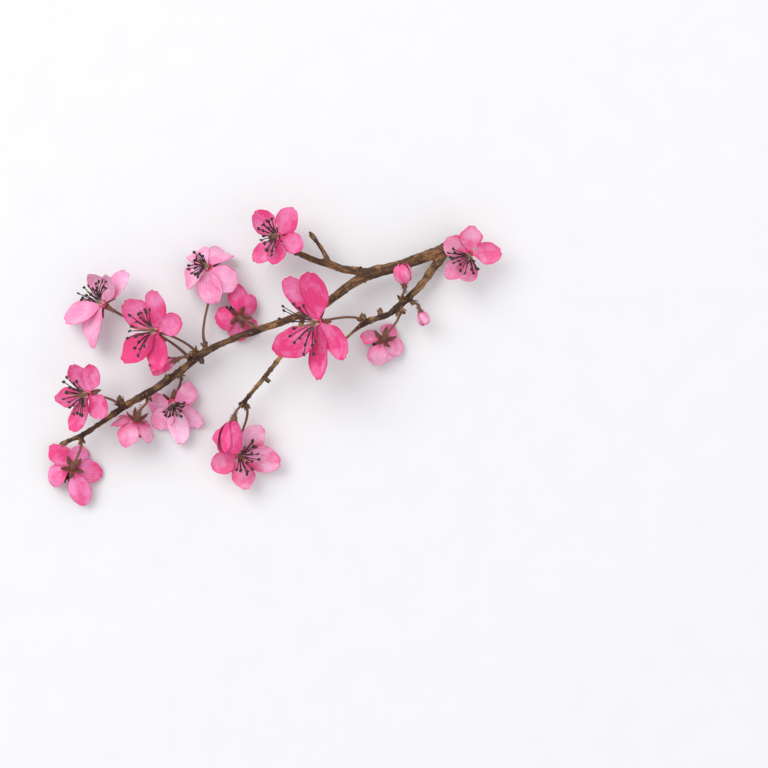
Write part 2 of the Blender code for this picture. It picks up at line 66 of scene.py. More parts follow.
# Limbs as (x, y, z, radius) from the thick end to the thin end. Each after the first starts inside another
LIMBS = {
    "main": (
        (91.0, 57.8, 2.7, 2.7), (79.2, 52.2, 4.6, 2.7), (67.0, 47.2, 7.6, 2.6), (55.8, 43.2, 10.4, 2.6),
        (45.5, 40.5, 12.2, 2.8), (36.5, 35.6, 13.2, 2.1), (27.9, 29.2, 13.6, 1.95), (19.4, 23.8, 13.6, 1.8),
        (9.5, 20.2, 13.4, 1.8), (0.5, 16.9, 13.2, 1.6), (-7.2, 14.4, 13.0, 1.8), (-16.2, 11.2, 12.8, 1.5),
        (-25.2, 7.2, 12.6, 1.5), (-32.2, 3.4, 12.4, 2.0), (-38.7, -2.0, 12.1, 1.6), (-47.7, -8.6, 11.8, 1.8),
        (-55.4, -13.5, 11.5, 1.8), (-63.5, -18.0, 11.2, 1.6), (-70.2, -22.4, 10.9, 1.4),
        (-77.0, -27.2, 10.6, 1.1), (-86.0, -32.8, 10.4, 1.3), (-95.0, -36.2, 10.0, 0.7),
    ),
    "upper": (
        (45.5, 40.6, 12.2, 2.2), (39.4, 41.4, 12.0, 1.9), (31.2, 42.6, 11.4, 1.7), (26.1, 44.6, 11.0, 1.8),
        (21.1, 45.8, 10.6, 1.4), (16.0, 47.8, 10.2, 1.35), (11.0, 50.1, 9.8, 1.1), (7.6, 51.8, 9.6, 1.1),
    ),
    "side": (
        (26.1, 44.7, 11.0, 1.4), (23.6, 50.2, 11.6, 1.1), (20.5, 54.6, 12.4, 0.9), (17.4, 59.0, 13.0, 0.6),
    ),
    "right": (
        (80.1, 52.8, 4.6, 2.0), (77.6, 49.0, 5.6, 2.1), (73.5, 43.6, 6.8, 2.0), (68.2, 36.0, 8.4, 1.7),
        (61.8, 29.4, 9.8, 1.5), (56.9, 25.2, 10.8, 1.6), (53.0, 22.0, 11.2, 1.3), (46.6, 19.8, 11.6, 1.4),
        (42.4, 18.2, 11.6, 1.5), (37.6, 14.6, 11.2, 0.9), (33.0, 10.4, 10.8, 0.6),
    ),
    "lower": (
        (15.4, 22.2, 13.4, 1.3), (11.8, 13.5, 12.8, 1.15), (4.6, 3.3, 12.0, 1.1), (-3.2, -6.6, 11.4, 1.0),
        (-9.6, -14.4, 11.0, 1.05), (-14.0, -19.8, 10.8, 1.3),
    ),
}

# Resting buds of next year, as limb, place on it, direction, length and radius
RESTING_BUDS = (
    ("main", (-66.0, -19.6), (-0.15, 0.9, 0.4), 4.6, 1.3),
    ("main", (-31.4, 3.9), (0.35, -0.8, 0.4), 2.6, 1.2),
    ("main", (-49.6, -9.8), (0.35, 0.75, 0.5), 2.8, 1.2),
    ("main", (41.0, 38.6), (-0.2, 0.75, 0.6), 3.4, 1.4),
    ("main", (-93.0, -35.6), (-0.7, -0.45, 0.3), 3.6, 1.0),
    ("right", (43.4, 18.7), (-0.25, 0.8, 0.5), 3.4, 1.1),
    ("right", (55.4, 23.8), (0.75, -0.5, 0.3), 3.2, 0.9),
    ("right", (51.0, 21.3), (-0.3, 0.85, 0.3), 2.8, 1.2),
    ("side", (17.6, 58.6), (-0.55, 0.8, 0.3), 3.6, 1.0),
    ("lower", (-3.6, -7.0), (0.75, -0.5, 0.4), 2.6, 0.9),
)

Petal = namedtuple("Petal", "azimuth rise length width tone")
Fan = namedtuple("Fan", "azimuth rise spread length")
Blossom = namedtuple("Blossom", "tone limb root hub facing fan pistil petals")
Bud = namedtuple("Bud", "tone limb root hub facing length radius")

# Petals and stamen fans point by azimuth from +X towards +Y and by rise above the table, in degrees. A
# petal's own tone runs from 0, washed out, to 1, full colour.
BLOSSOMS = {
    "blossom_01": Blossom(
        "deep", "main", (-87.0, -33.3), (-90.0, -47.7, 7.9), (-0.20, -0.30, -0.93),
        Fan(-115, -38, 26, 8.0), True,
        (Petal(-78, -12, 18.5, 11.0, 0.35), Petal(-12, -26, 14.5, 11.0, 0.4), Petal(62, -32, 12.5, 10.5, 0.5),
         Petal(135, -20, 16.0, 10.5, 0.75), Petal(203, -22, 14.0, 11.0, 0.45)),
    ),
    "blossom_02": Blossom(
        "deep", "main", (-68.4, -21.0), (-81.3, -14.2, 20.0), (-0.35, 0.05, 0.93),
        Fan(195, 54, 42, 12.5), True,
        (Petal(117, 17, 15.5, 9.5, 0.6), Petal(80, 26, 15.5, 10.0, 0.45), Petal(189, 8, 14.5, 10.0, 0.65),
         Petal(-109, 5, 18.0, 10.0, 0.55), Petal(-45, 30, 15.5, 12.0, 0.6)),
    ),
    "blossom_03": Blossom(
        "pale", "main", (-35.6, 1.0), (-76.0, 26.6, 10.5), (-0.50, 0.35, 0.79),
        Fan(118, 56, 26, 14.0), True,
        (Petal(203, -10, 20.0, 14.5, 0.95), Petal(-106, -8, 20.5, 14.5, 0.65),
         Petal(116, 22, 15.5, 10.5, 0.25), Petal(78, 32, 15.5, 9.5, 0.3), Petal(52, 10, 19.0, 10.5, 0.1)),
    ),
    "blossom_04": Blossom(
        "mid", "main", (-54.6, -13.0), (-60.6, -26.0, 12.5), (-0.35, -0.80, -0.49),
        Fan(-112, -34, 22, 9.0), False,
        (Petal(-117, 12, 13.0, 10.5, 0.4), Petal(-60, -2, 12.0, 9.5, 0.4), Petal(-42, -56, 12.0, 9.0, 0.4),
         Petal(178, -56, 12.0, 9.0, 0.4), Petal(-170, -4, 11.5, 9.5, 0.4)),
    ),
    "blossom_05": Blossom(
        "pale", "main", (-40.6, -3.4), (-45.0, -18.0, 6.8), (-0.10, -0.50, 0.86),
        Fan(-60, 58, 32, 9.5), True,
        (Petal(-36, -8, 17.5, 12.5, 0.6), Petal(-78, -4, 19.5, 11.5, 0.3), Petal(-122, -18, 15.5, 11.0, 0.75),
         Petal(168, -22, 13.5, 11.0, 0.8), Petal(42, -20, 13.0, 10.5, 0.6)),
    ),
    "blossom_06": Blossom(
        "deep", "main", (-31.4, 3.8), (-50.6, 14.0, 21.0), (-0.40, 0.10, 0.91),
        Fan(172, 52, 42, 14.5), True,
        (Petal(92, 18, 19.0, 10.5, 0.55), Petal(142, 8, 19.5, 13.0, 0.6), Petal(222, 3, 20.0, 14.5, 0.95),
         Petal(27, 40, 18.0, 11.0, 0.5), Petal(-84, 20, 19.0, 12.5, 0.9)),
    ),
    "blossom_07": Blossom(
        "pale", "main", (-27.2, 6.3), (-28.0, 43.0, 12.4), (-0.20, 0.34, 0.92),
        Fan(170, 50, 32, 10.0), True,
        (Petal(-82, -2, 17.0, 12.5, 0.75), Petal(214, -28, 15.0, 12.0, 0.6), Petal(-38, -4, 15.5, 12.5, 0.8),
         Petal(128, -50, 16.0, 11.0, 0.6), Petal(36, -46, 15.0, 11.0, 0.7)),
    ),
    "blossom_08": Blossom(
        "deep", "main", (-6.4, 14.7), (-14.6, 21.0, 9.0), (-0.25, 0.20, -0.95),
        Fan(175, -42, 26, 9.0), True,
        (Petal(93, -12, 15.5, 10.0, 0.75), Petal(50, -24, 12.5, 9.5, 0.6), Petal(187, -14, 11.5, 11.5, 0.9),
         Petal(-97, -30, 13.0, 11.0, 0.7), Petal(-50, -34, 12.5, 9.5, 0.8)),
    ),
    "blossom_09": Blossom(
        "deep", "right", (42.0, 17.9), (21.4, 18.0, 25.0), (-0.42, -0.12, 0.90),
        Fan(200, 50, 42, 17.5), True,
        (Petal(130, 15, 25.0, 11.5, 0.6), Petal(99, 30, 25.0, 13.5, 0.95), Petal(-47, 33, 24.0, 12.0, 0.6),
         Petal(-88, 8, 26.0, 11.5, 0.7), Petal(-136, 20, 24.5, 17.5, 0.85)),
    ),
    "blossom_10": Blossom(
        "mid", "lower", (-12.6, -18.2), (-15.0, -41.0, 7.7), (0.25, -0.30, 0.92),
        Fan(-22, 52, 40, 11.5), True,
        (Petal(46, 10, 17.0, 13.0, 0.1), Petal(-11, 2, 20.0, 13.5, 0.35), Petal(-73, 14, 17.0, 11.0, 0.6),
         Petal(212, 12, 14.0, 12.0, 0.95), Petal(124, -16, 15.0, 11.5, 0.9)),
    ),
    "blossom_11": Blossom(
        "deep", "upper", (8.6, 51.4), (3.4, 56.4, 16.5), (-0.20, 0.10, 0.97),
        Fan(185, 58, 42, 11.0), True,
        (Petal(-130, 10, 16.0, 10.0, 0.5), Petal(-94, 32, 15.0, 9.5, 0.7), Petal(-20, 28, 14.5, 10.0, 0.6),
         Petal(58, 14, 15.0, 11.5, 0.6), Petal(138, 8, 15.5, 11.5, 0.6)),
    ),
    "blossom_12": Blossom(
        "mid", "right", (56.4, 24.8), (50.4, 10.3, 8.0), (-0.25, -0.45, -0.86),
        Fan(-110, -48, 30, 7.0), False,
        (Petal(166, -16, 11.0, 9.5, 0.9), Petal(-115, -18, 12.5, 10.0, 0.4), Petal(-75, -34, 11.5, 9.0, 0.4),
         Petal(-34, -22, 11.5, 9.5, 0.5), Petal(58, -36, 10.5, 8.5, 0.6)),
    ),
    "blossom_13": Blossom(
        "mid", "main", (80.6, 52.9), (89.0, 49.0, 13.5), (0.10, -0.30, 0.95),
        Fan(-125, 50, 40, 10.5), True,
        (Petal(-130, 8, 15.5, 10.0, 0.4), Petal(-92, 28, 14.5, 10.0, 0.5), Petal(4, 12, 15.0, 11.5, 0.9),
         Petal(84, 24, 13.5, 11.0, 0.6), Petal(158, 20, 13.5, 11.5, 0.6)),
    ),
}

BUDS = {
    "bud_1": Bud("deep", "lower", (-14.0, -19.8), (-16.6, -26.6, 16.4), (-0.18, -0.97, 0.12), 15.5, 4.8),
    "bud_2": Bud("deep", "main", (-33.4, 2.6), (-43.4, 0.9, 17.4), (-0.93, -0.34, 0.10), 12.0, 3.0),
    "bud_3": Bud("mid", "right", (60.2, 27.9), (59.8, 36.4, 15.0), (-0.10, 0.90, 0.42), 9.0, 3.8),
    "bud_4": Bud("mid", "right", (62.4, 30.0), (67.6, 22.6, 10.6), (0.35, -0.92, 0.10), 6.5, 2.4),
}

# --- Shapes of the pieces, in shares of their length or radius ---------------------------------------------

# Outlines of thin plates, as (share of the length, share of the full width)
PETAL_OUTLINE = (
    (0.0, 0.17), (0.08, 0.26), (0.2, 0.56), (0.36, 0.86), (0.55, 1.0), (0.72, 1.0), (0.86, 0.9), (0.95, 0.74),
    (1.0, 0.58),
)
SEPAL_OUTLINE = ((0.0, 0.8), (0.3, 1.0), (0.6, 0.8), (0.85, 0.4), (1.0, 0.06))
SCALE_OUTLINE = ((0.0, 0.85), (0.35, 1.0), (0.7, 0.75), (0.9, 0.4), (1.0, 0.12))
# Faces along and across each plate
PETAL_GRID = (22, 14)
SEPAL_GRID = (10, 6)
SCALE_GRID = (8, 6)
# Four petal shapes, as (skew to one side, depth of the notch, place of the notch across the tip)
PETAL_KINDS = ((0.05, 0.045, 0.02), (-0.08, 0.02, 0.1), (0.03, 0.06, -0.05), (-0.03, 0.0, 0.0))
BUD_PETAL_KIND = (0.08, 0.03, 0.0)
# How far the corners of the tip are drawn back, on broad and on narrow petals, and how squarely
TIP_ROUND = (0.18, 0.11)
TIP_SQUARENESS = 2.4
NOTCH_WIDTH = 0.09
# A petal narrower than this share of its length is a narrow one
NARROW = 0.56
# Unevenness of an open petal's rim. Waves run along the tip and the sides, in radians for each unit of
# length, and start at a place of their own on each skewed petal.
RIM_WAVE = 0.018
TIP_WAVES, TIP_WAVE_START = 17, 40
SIDE_WAVES, SIDE_WAVE_START, SIDE_WAVE = 13, 60, 1.6
# How a petal's ruffle grows from its foot, and its strength down the middle and towards the sides
RUFFLE_GROWTH, RUFFLE_MIDDLE, RUFFLE_SIDES = 1.3, 0.35, 2.6
RUFFLE_SIZE = 5.5

# Where a petal's claw stands from the hub, in millimetres, and how it is rolled and cupped, in degrees
CLAW_AT = 1.6
PETAL_ROLL = 7.0
PETAL_CUP = 62.0
PETAL_CUP_RANGE = (0.7, 1.2)
PETAL_TWIST = 9

# The cup under the petals: its length, a bud's share of it, its top below the hub, and its profile
CUP_LENGTH = 4.4
BUD_CUP = 0.65
CUP_TOP = 0.75
CUP_PROFILE = ((0.0, 0.7), (0.1, 1.0), (0.3, 1.35), (0.6, 1.5), (0.8, 1.45), (1.0, 1.95), (1.04, 1.7))
# How far a spur stands out of the bark, and how squarely to its limb
SPUR_STANDS = 1.1
SPUR_SQUARE = 0.75
STAMENS = 19
# Hairs on each cup: how many, their radius and lengths in millimetres, where they stand as shares of the cup
# above its foot, how far they lean along it, and their tip's share of the radius
HAIRS = 90
HAIR_RADIUS, HAIR_LENGTHS = 0.06, (0.5, 1.1)
HAIR_PLACES, HAIR_LEANS, HAIR_TAPER = (-0.9, 1.0), (-0.7, 0.5), 0.4

# Points nearer than this, in metres, are one
WELD = 1e-6
# The lowest that anything reaches over the table, in millimetres
CLEAR_OF_TABLE = 0.05


# --- Settings ---------------------------------------------------------------------------------------------


class SprigSizes(bpy.types.PropertyGroup):
    """The thicknesses, mesh size and reliefs of the pieces."""

    petal_thickness: bpy.props.FloatProperty(
        name="Petal thickness", description="Thickness of an open petal", default=0.28 * MM, unit="LENGTH",
        precision=5,
    )
    petal_ruffle: bpy.props.FloatProperty(
        name="Petal ruffle", description="How far a petal's rim waves", default=1.7 * MM, unit="LENGTH",
        precision=5,
    )
    stalk_radius: bpy.props.FloatProperty(
        name="Stalk radius", description="Radius of a blossom's stalk", default=0.6 * MM, unit="LENGTH",
        precision=5,
    )
    filament_radius: bpy.props.FloatProperty(
        name="Filament radius", description="Radius of a filament at its foot", default=0.27 * MM,
        unit="LENGTH", precision=5,
    )
    anther_length: bpy.props.FloatProperty(
        name="Anther length", description="Length of an anther", default=1.9 * MM, unit="LENGTH", precision=5
    )
    bark_voxel: bpy.props.FloatProperty(
        name="Bark mesh size", description="Mesh size that the limbs are joined at", default=0.3 * MM,
        unit="LENGTH", precision=5,
    )
    bark_relief: bpy.props.FloatProperty(
        name="Bark relief", description="How far the bark swells and sinks", default=0.75 * MM, unit="LENGTH",
        precision=5,
    )


def colour(name, description, default):
    return bpy.props.FloatVectorProperty(
        name=name, description=description, default=default, subtype="COLOR", size=3, min=0.0, max=1.0
    )


class SprigColours(bpy.types.PropertyGroup):
    """The colours of each finish."""

    deep: colour("Deep petals", "Full colour of the deep blossoms", (0.78, 0.055, 0.225))
    deep_light: colour("Deep petals, light", "Washed-out colour of the deep blossoms", (0.88, 0.28, 0.54))
    mid: colour("Mid petals", "Full colour of the mid blossoms", (0.84, 0.13, 0.32))
    mid_light: colour("Mid petals, light", "Washed-out colour of the mid blossoms", (0.88, 0.44, 0.63))
    pale: colour("Pale petals", "Full colour of the pale blossoms", (0.90, 0.29, 0.52))
    pale_light: colour("Pale petals, light", "Washed-out colour of the pale blossoms", (0.93, 0.56, 0.75))
    rim: colour("Petal rim", "Colour that gathers along a petal's rim and veins", (0.56, 0.010, 0.075))
    bark_dark: colour("Bark, dark", "Colour of the bark's hollows and rings", (0.043, 0.020, 0.013))
    bark_brown: colour("Bark, brown", "Main colour of the bark", (0.155, 0.070, 0.038))
    bark_tan: colour("Bark, tan", "Colour of the bark's worn ridges", (0.42, 0.23, 0.085))
    cut_wood: colour("Cut wood", "Colour of the wood inside the cut", (0.56, 0.40, 0.22))
    stalk: colour("Stalks", "Colour of the stalks and cups", (0.17, 0.095, 0.045))
    stalk_red: colour("Stalks, red", "Flush on the stalks and sepals", (0.20, 0.045, 0.035))
    filament_foot: colour("Filament foot", "Colour of a filament where it starts", (0.80, 0.52, 0.50))
    filament: colour("Filament", "Colour of a filament's upper part", (0.040, 0.020, 0.022))
    anther: colour("Anther", "Colour of the anthers", (0.016, 0.011, 0.013))
    style: colour("Style", "Colour of the style and stigma", (0.30, 0.26, 0.07))
    floor: colour("Table", "Colour of the table", (0.80, 0.80, 0.802))


class StudioSettings(bpy.types.PropertyGroup):
    """The light, and the camera that looks down on the sprig."""

    key_power: bpy.props.FloatProperty(
        name="Key light", description="Power of the large soft light", default=34.0, unit="POWER"
    )
    fill_power: bpy.props.FloatProperty(
        name="Fill light", description="Power of the light opposite", default=6.0, unit="POWER"
    )
    sky_strength: bpy.props.FloatProperty(
        name="Surround", description="Strength of the light from all round", default=0.8, min=0.0
    )
    view_width: bpy.props.FloatProperty(
        name="View width", description="Width of table that the camera sees", default=345.6 * MM,
        unit="LENGTH",
    )
    view_centre: bpy.props.FloatVectorProperty(
        name="View centre", description="Point that the camera looks down on",
        default=(0.05025, -0.01165, 0.012), subtype="TRANSLATION", size=3,
    )
    lens: bpy.props.FloatProperty(
        name="Lens", description="Focal length in millimetres", default=85.0, min=10.0
    )


# --- Working by hand: selecting, editing, applying ---------------------------------------------------------


def at(place):
    """A point of the tables, in metres and in the solids' frame."""
    return (Vector(place) - MIDDLE) * MM


def pick(*pieces):
    """Selects these pieces alone, the first one active."""
    bpy.ops.object.select_all(action="DESELECT")
    for piece in pieces:
        piece.select_set(True)
    bpy.context.view_layer.objects.active = pieces[0]


@contextmanager
def editing(piece):
    """Edit mode on this piece alone."""
    pick(piece)
    bpy.ops.object.mode_set(mode="EDIT")
    yield piece.data
    bpy.ops.object.mode_set(mode="OBJECT")


def choose(mesh, test):
    """In edit mode, selects the vertices that pass the test."""
    shape = bmesh.from_edit_mesh(mesh)
    for element in (*shape.faces, *shape.edges, *shape.verts):
        element.select = False
    for vertex in shape.verts:
        vertex.select = test(vertex)
    shape.select_flush(True)
    bmesh.update_edit_mesh(mesh, loop_triangles=False, destructive=False)


def finish_with(piece, kind, **settings):
    """Adds a modifier to the piece and applies it."""
    pick(piece)
    bpy.ops.object.modifier_add(type=kind)
    modifier = piece.modifiers[-1]
    for name, value in settings.items():
        setattr(modifier, name, value)
    bpy.ops.object.modifier_apply(modifier=modifier.name)


def settle(piece):
    """Puts the piece's place, turn and scale into its mesh."""
    pick(piece)
    bpy.ops.object.transform_apply(location=True, rotation=True, scale=True)


def copy_of(piece, name):
    """A copy with its own mesh."""
    twin = piece.copy()
    twin.data = piece.data.copy()
    twin.name = name
    bpy.context.scene.collection.objects.link(twin)
    return twin


def join(name, pieces):
    pick(*pieces)
    if len(pieces) > 1:
        bpy.ops.object.join()
    pieces[0].name = name
    pieces[0].data.name = name
    return pieces[0]


def mark(piece, name, values):
    """Stores one value for each vertex, or the same value for all, for the materials to read."""
    count = len(piece.data.vertices)
    held = piece.data.attributes
    layer = held.get(name) or held.new(name=name, type="FLOAT", domain="POINT")
    layer.data.foreach_set("value", np.broadcast_to(np.asarray(values, dtype=np.float32), count).copy())


def vertices_of(piece):
    points = np.empty(len(piece.data.vertices) * 3)
    piece.data.vertices.foreach_get("co", points)
    return points.reshape(-1, 3)


def hand_in(piece, node, slot, *finishes):
    """Gives the finished piece its materials, and puts it in the place of its solid."""
    for finish in finishes:
        piece.data.materials.append(finish)
    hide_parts(node)
    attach(piece, BODY)
    return piece


def smooth(piece, angle=60.0):
    pick(piece)
    bpy.ops.object.shade_smooth_by_angle(angle=math.radians(angle))


def width_at(outline, share):
    """The outline's width at this share of the length."""
    places, widths = zip(*outline)
    return float(np.interp(share, places, widths))


def direction(azimuth, rise):
    """The way that points by azimuth and by rise, in degrees."""
    turn, lift = math.radians(azimuth), math.radians(rise)
    return Vector((math.cos(turn) * math.cos(lift), math.sin(turn) * math.cos(lift), math.sin(lift)))


def roughen(piece, name, size, strength, **where):
    """Swells and sinks the piece's surface along its normals, in clouds of this size in millimetres."""
    clouds = bpy.data.textures.get(name) or bpy.data.textures.new(name, "CLOUDS")
    clouds.noise_scale = size * MM
    clouds.noise_depth = 2
    finish_with(piece, "DISPLACE", texture=clouds, mid_level=0.5, texture_coords="GLOBAL", direction="NORMAL",
                strength=strength, **where)


def thicken(piece, thickness):
    """Gives a thin piece its thickness, and rounds it."""
    finish_with(piece, "SOLIDIFY", thickness=thickness, offset=0.0)
    finish_with(piece, "SUBSURF", levels=1, render_levels=1)


def rest_on_table(piece):
    """Whatever would reach below the table is pressed flat on it."""
    points = vertices_of(piece)
    points[:, 2] = np.maximum(points[:, 2], CLEAR_OF_TABLE * MM)
    piece.data.vertices.foreach_set("co", points.ravel())
    piece.data.update()


# --- Thin plates: petals, sepals and scales ----------------------------------------------------------------


def plate(name, outline, grid, tip_round=0.0, skew=0.0, notch=0.0, notch_at=0.0, wave=0.0):
    """A flat plate 1 long and 1 wide, from its foot at the origin along X, facing Y, with its width along Z.

    Its cross rows are narrowed to the outline, and its long rows are shortened to round and notch the tip.
    Wave makes the rim a little uneven. The ruffle group grows stronger from the foot to the rim.
    """
    rows, lines = grid
    bpy.ops.mesh.primitive_grid_add(
        x_subdivisions=rows, y_subdivisions=lines, size=1, calc_uvs=True, location=(0.5, 0, 0),
        rotation=(math.radians(90), 0, 0),
    )
    piece = bpy.context.object
    piece.name = name
    settle(piece)
    with editing(piece) as mesh:
        for line in range(lines + 1):
            across = line / lines - 0.5
            length = 1 - tip_round * abs(2 * across) ** TIP_SQUARENESS
            length -= notch * math.exp(-(((across - notch_at) / NOTCH_WIDTH) ** 2))
            length += wave * math.sin(TIP_WAVES * across + TIP_WAVE_START * skew)
            choose(mesh, lambda vertex, line=line: vertex.index // (rows + 1) == line)
            bpy.ops.transform.resize(value=(length, 1, 1), center_override=(0, 0, 0))
        for row in range(rows + 1):
            share = row / rows
            choose(mesh, lambda vertex, row=row: vertex.index % (rows + 1) == row)
            uneven = SIDE_WAVE * wave * math.sin(SIDE_WAVES * share + SIDE_WAVE_START * skew)
            width = width_at(outline, share) * (1 + uneven)
            bpy.ops.transform.resize(value=(1, 1, width), center_override=(share, 0, 0))
            bpy.ops.transform.translate(value=(0, 0, skew * share**2))
    ruffle = piece.vertex_groups.new(name="ruffle")
    for vertex in piece.data.vertices:
        share = (vertex.index % (rows + 1)) / rows
        across = (vertex.index // (rows + 1)) / lines - 0.5
        strength = share**RUFFLE_GROWTH * (RUFFLE_MIDDLE + RUFFLE_SIDES * across**2)
        ruffle.add([vertex.index], min(1.0, strength), "REPLACE")
    return piece


def bent(unit, name, length, width, cup=0.0, bend=0.0, lift=0.0, twist=0.0):
    """A copy of a plate at its size: cupped, twisted, bent along, and lifted at its foot, in degrees."""
    piece = copy_of(unit, name)
    piece.scale = (length, 1, width)
    settle(piece)
    if cup:
        finish_with(piece, "SIMPLE_DEFORM", deform_method="BEND", deform_axis="X", angle=math.radians(cup))
    if twist:
        finish_with(piece, "SIMPLE_DEFORM", deform_method="TWIST", deform_axis="X", angle=math.radians(twist))
    if bend:
        finish_with(piece, "SIMPLE_DEFORM", deform_method="BEND", deform_axis="Z", angle=math.radians(bend))
    if lift:
        piece.rotation_euler = (0, 0, math.radians(lift))
        settle(piece)
    return piece


def seat(piece, foot, outward, facing, roll=0.0):
    """Stands a bent plate on its foot: its length leaves along outward, its face looks along facing."""
    side = outward.cross(facing)
    turned = Matrix((outward, facing, side)).transposed() @ Matrix.Rotation(math.radians(roll), 3, "X")
    piece.matrix_world = Matrix.Translation(foot) @ turned.to_4x4()
    settle(piece)
    return piece


def crown(unit, name, count, centre, facing, radius, turn=0.0, roll=0.0, **shape):
    """Equal bent plates set round a centre."""
    side = facing.orthogonal().normalized()
    placed = []
    for k in range(count):
        outward = Matrix.Rotation(math.tau * k / count + math.radians(turn), 3, facing) @ side
        piece = bent(unit, f"{name}_{k}", **shape)
        placed.append(seat(piece, centre + outward * radius, outward, facing, roll))
    return placed


def rods(name, lines, rings=3, smoothness=4):
    """Round rods in one piece. Each line is its points and its radius at each of them, on a smooth curve.

    More rings make a rod rounder, and more smoothness divides it finer along its length.
    """
    bpy.ops.object.select_all(action="DESELECT")
    bpy.ops.curve.primitive_bezier_curve_add()
    piece = bpy.context.object
    piece.name = name
    shape = piece.data
    shape.dimensions = "3D"
    shape.splines.clear()
    widest = max(max(radii) for _, radii in lines)
    for points, radii in lines:
        line = shape.splines.new("BEZIER")
        line.bezier_points.add(len(points) - 1)
        for knot, point, radius in zip(line.bezier_points, points, radii):
            knot.co = point
            knot.radius = radius / widest
            knot.handle_left_type = knot.handle_right_type = "AUTO"
    shape.bevel_depth = widest
    shape.bevel_resolution = rings
    shape.resolution_u = smoothness
    shape.use_fill_caps = True
    bpy.ops.object.convert(target="MESH")
    piece = bpy.context.object
    with editing(piece):
        bpy.ops.mesh.select_all(action="SELECT")
        bpy.ops.mesh.remove_doubles(threshold=WELD)
        bpy.ops.mesh.normals_make_consistent(inside=False)
    return piece


def spindle(name, profile, sides, refine=1):
    """A closed round form along Z, raised ring by ring through (height, radius)."""
    bpy.ops.object.select_all(action="DESELECT")
    start, radius = profile[0]
    bpy.ops.mesh.primitive_circle_add(vertices=sides, radius=radius, fill_type="NGON", location=(0, 0, start))
    piece = bpy.context.object
    piece.name = name
    settle(piece)
    with editing(piece):
        bpy.ops.mesh.select_all(action="SELECT")
        for (low, before), (high, after) in zip(profile, profile[1:]):
            bpy.ops.mesh.extrude_region_move(TRANSFORM_OT_translate={"value": (0, 0, high - low)})
            grown = after / before
            bpy.ops.transform.resize(value=(grown, grown, 1), center_override=(0, 0, high))
        bpy.ops.mesh.select_all(action="SELECT")
        bpy.ops.mesh.normals_make_consistent(inside=False)
    if refine:
        finish_with(piece, "SUBSURF", levels=refine, render_levels=refine)
    return piece


def stand(piece, foot, way, turn=0.0):
    """Stands a form that was made along Z at foot, along way."""
    side = way.orthogonal().normalized()
    turned = Matrix((side, way.cross(side), way)).transposed() @ Matrix.Rotation(math.radians(turn), 3, "Z")
    piece.matrix_world = Matrix.Translation(foot) @ turned.to_4x4()
    settle(piece)
    return piece


# --- Limbs: the same smooth lines as in the solids ---------------------------------------------------------


def smooth_line(stations, step):
    """Catmull-Rom points about step apart through stations, whose radius is carried along."""
    ends = [stations[0], *stations, stations[-1]]
    line = []
    for before, start, end, after in zip(ends, ends[1:], ends[2:], ends[3:]):
        pieces = max(1, round((end.xyz - start.xyz).length / step))
        for k in range(pieces):
            t = k / pieces
            line.append(
                0.5 * (2 * start + (end - before) * t + (2 * before - 5 * start + 4 * end - after) * t**2
                       + (3 * start - before - 3 * end + after) * t**3)
            )
    return [*line, stations[-1]]


LINE_STEP = 4.2
LINES = {name: smooth_line([Vector(s) for s in stations], LINE_STEP) for name, stations in LIMBS.items()}


def nearest(limb, place):
    """The centre, radius and run of the limb where it passes closest to place, in millimetres."""
    line = LINES[limb]
    k = min(range(1, len(line) - 1), key=lambda k: (line[k].xy - Vector(place)).length)
    return line[k].xyz, line[k].w, (line[k + 1] - line[k - 1]).xyz.normalized()


def cup_foot(bloom):
    """The bloom's hub, the way it faces, and the foot of its cup, in millimetres."""
    hub, facing = Vector(bloom.hub), Vector(bloom.facing).normalized()
    length = CUP_LENGTH * (BUD_CUP if isinstance(bloom, Bud) else 1.0)
    return hub, facing, hub - facing * (CUP_TOP + length)


def spur_of(bloom):
    """Where the wood's short spur for this bloom starts and ends, and the way that it points."""
    centre, girth, run = nearest(bloom.limb, bloom.root)
    way = (cup_foot(bloom)[2] - centre).normalized()
    way = (way - run * SPUR_SQUARE * way.dot(run)).normalized()
    return centre, centre + way * (girth + SPUR_STANDS), way


def arc(start, start_way, end, end_way, pieces):
    """Points on the smooth curve that leaves start along start_way and reaches end along end_way."""
    pull = (end - start).length
    points = []
    for k in range(pieces + 1):
        t = k / pieces
        points.append(
            start * (2 * t**3 - 3 * t**2 + 1) + end * (3 * t**2 - 2 * t**3)
            + (start_way * (t**3 - 2 * t**2 + t) + end_way * (t**3 - t**2)) * pull
        )
    return points


def drawn(start, middle, end, share):
    """The point at this share of the curve from start to end that is drawn towards middle."""
    return start * (1 - share) ** 2 + middle * 2 * share * (1 - share) + end * share**2


# --- Finishes ---------------------------------------------------------------------------------------------


# A Mix node has sockets for every kind of data under the same names, so its colours go by number
MIX_FIRST, MIX_SECOND, MIX_RESULT = 6, 7, 2


def put(tree, kind, inputs=None, **settings):
    """Adds a node with its settings. An input that is a socket is linked, and any other is set."""
    node = tree.nodes.new(kind)
    for name, value in settings.items():
        setattr(node, name, value)
    for key, value in (inputs or {}).items():
        if isinstance(value, bpy.types.NodeSocket):
            tree.links.new(value, node.inputs[key])
        else:
            node.inputs[key].default_value = value
    return node


def calc(tree, operation, *values, clamp=False):
    """A sum on sockets and numbers."""
    node = put(tree, "ShaderNodeMath", dict(enumerate(values)), operation=operation, use_clamp=clamp)
    return node.outputs[0]


def step_up(tree, value, low, high, start=0.0, end=1.0):
    """Rises smoothly from start to end as value goes from low to high."""
    ends = {"Value": value, "From Min": low, "From Max": high, "To Min": start, "To Max": end}
    return put(tree, "ShaderNodeMapRange", ends, interpolation_type="SMOOTHSTEP").outputs[0]


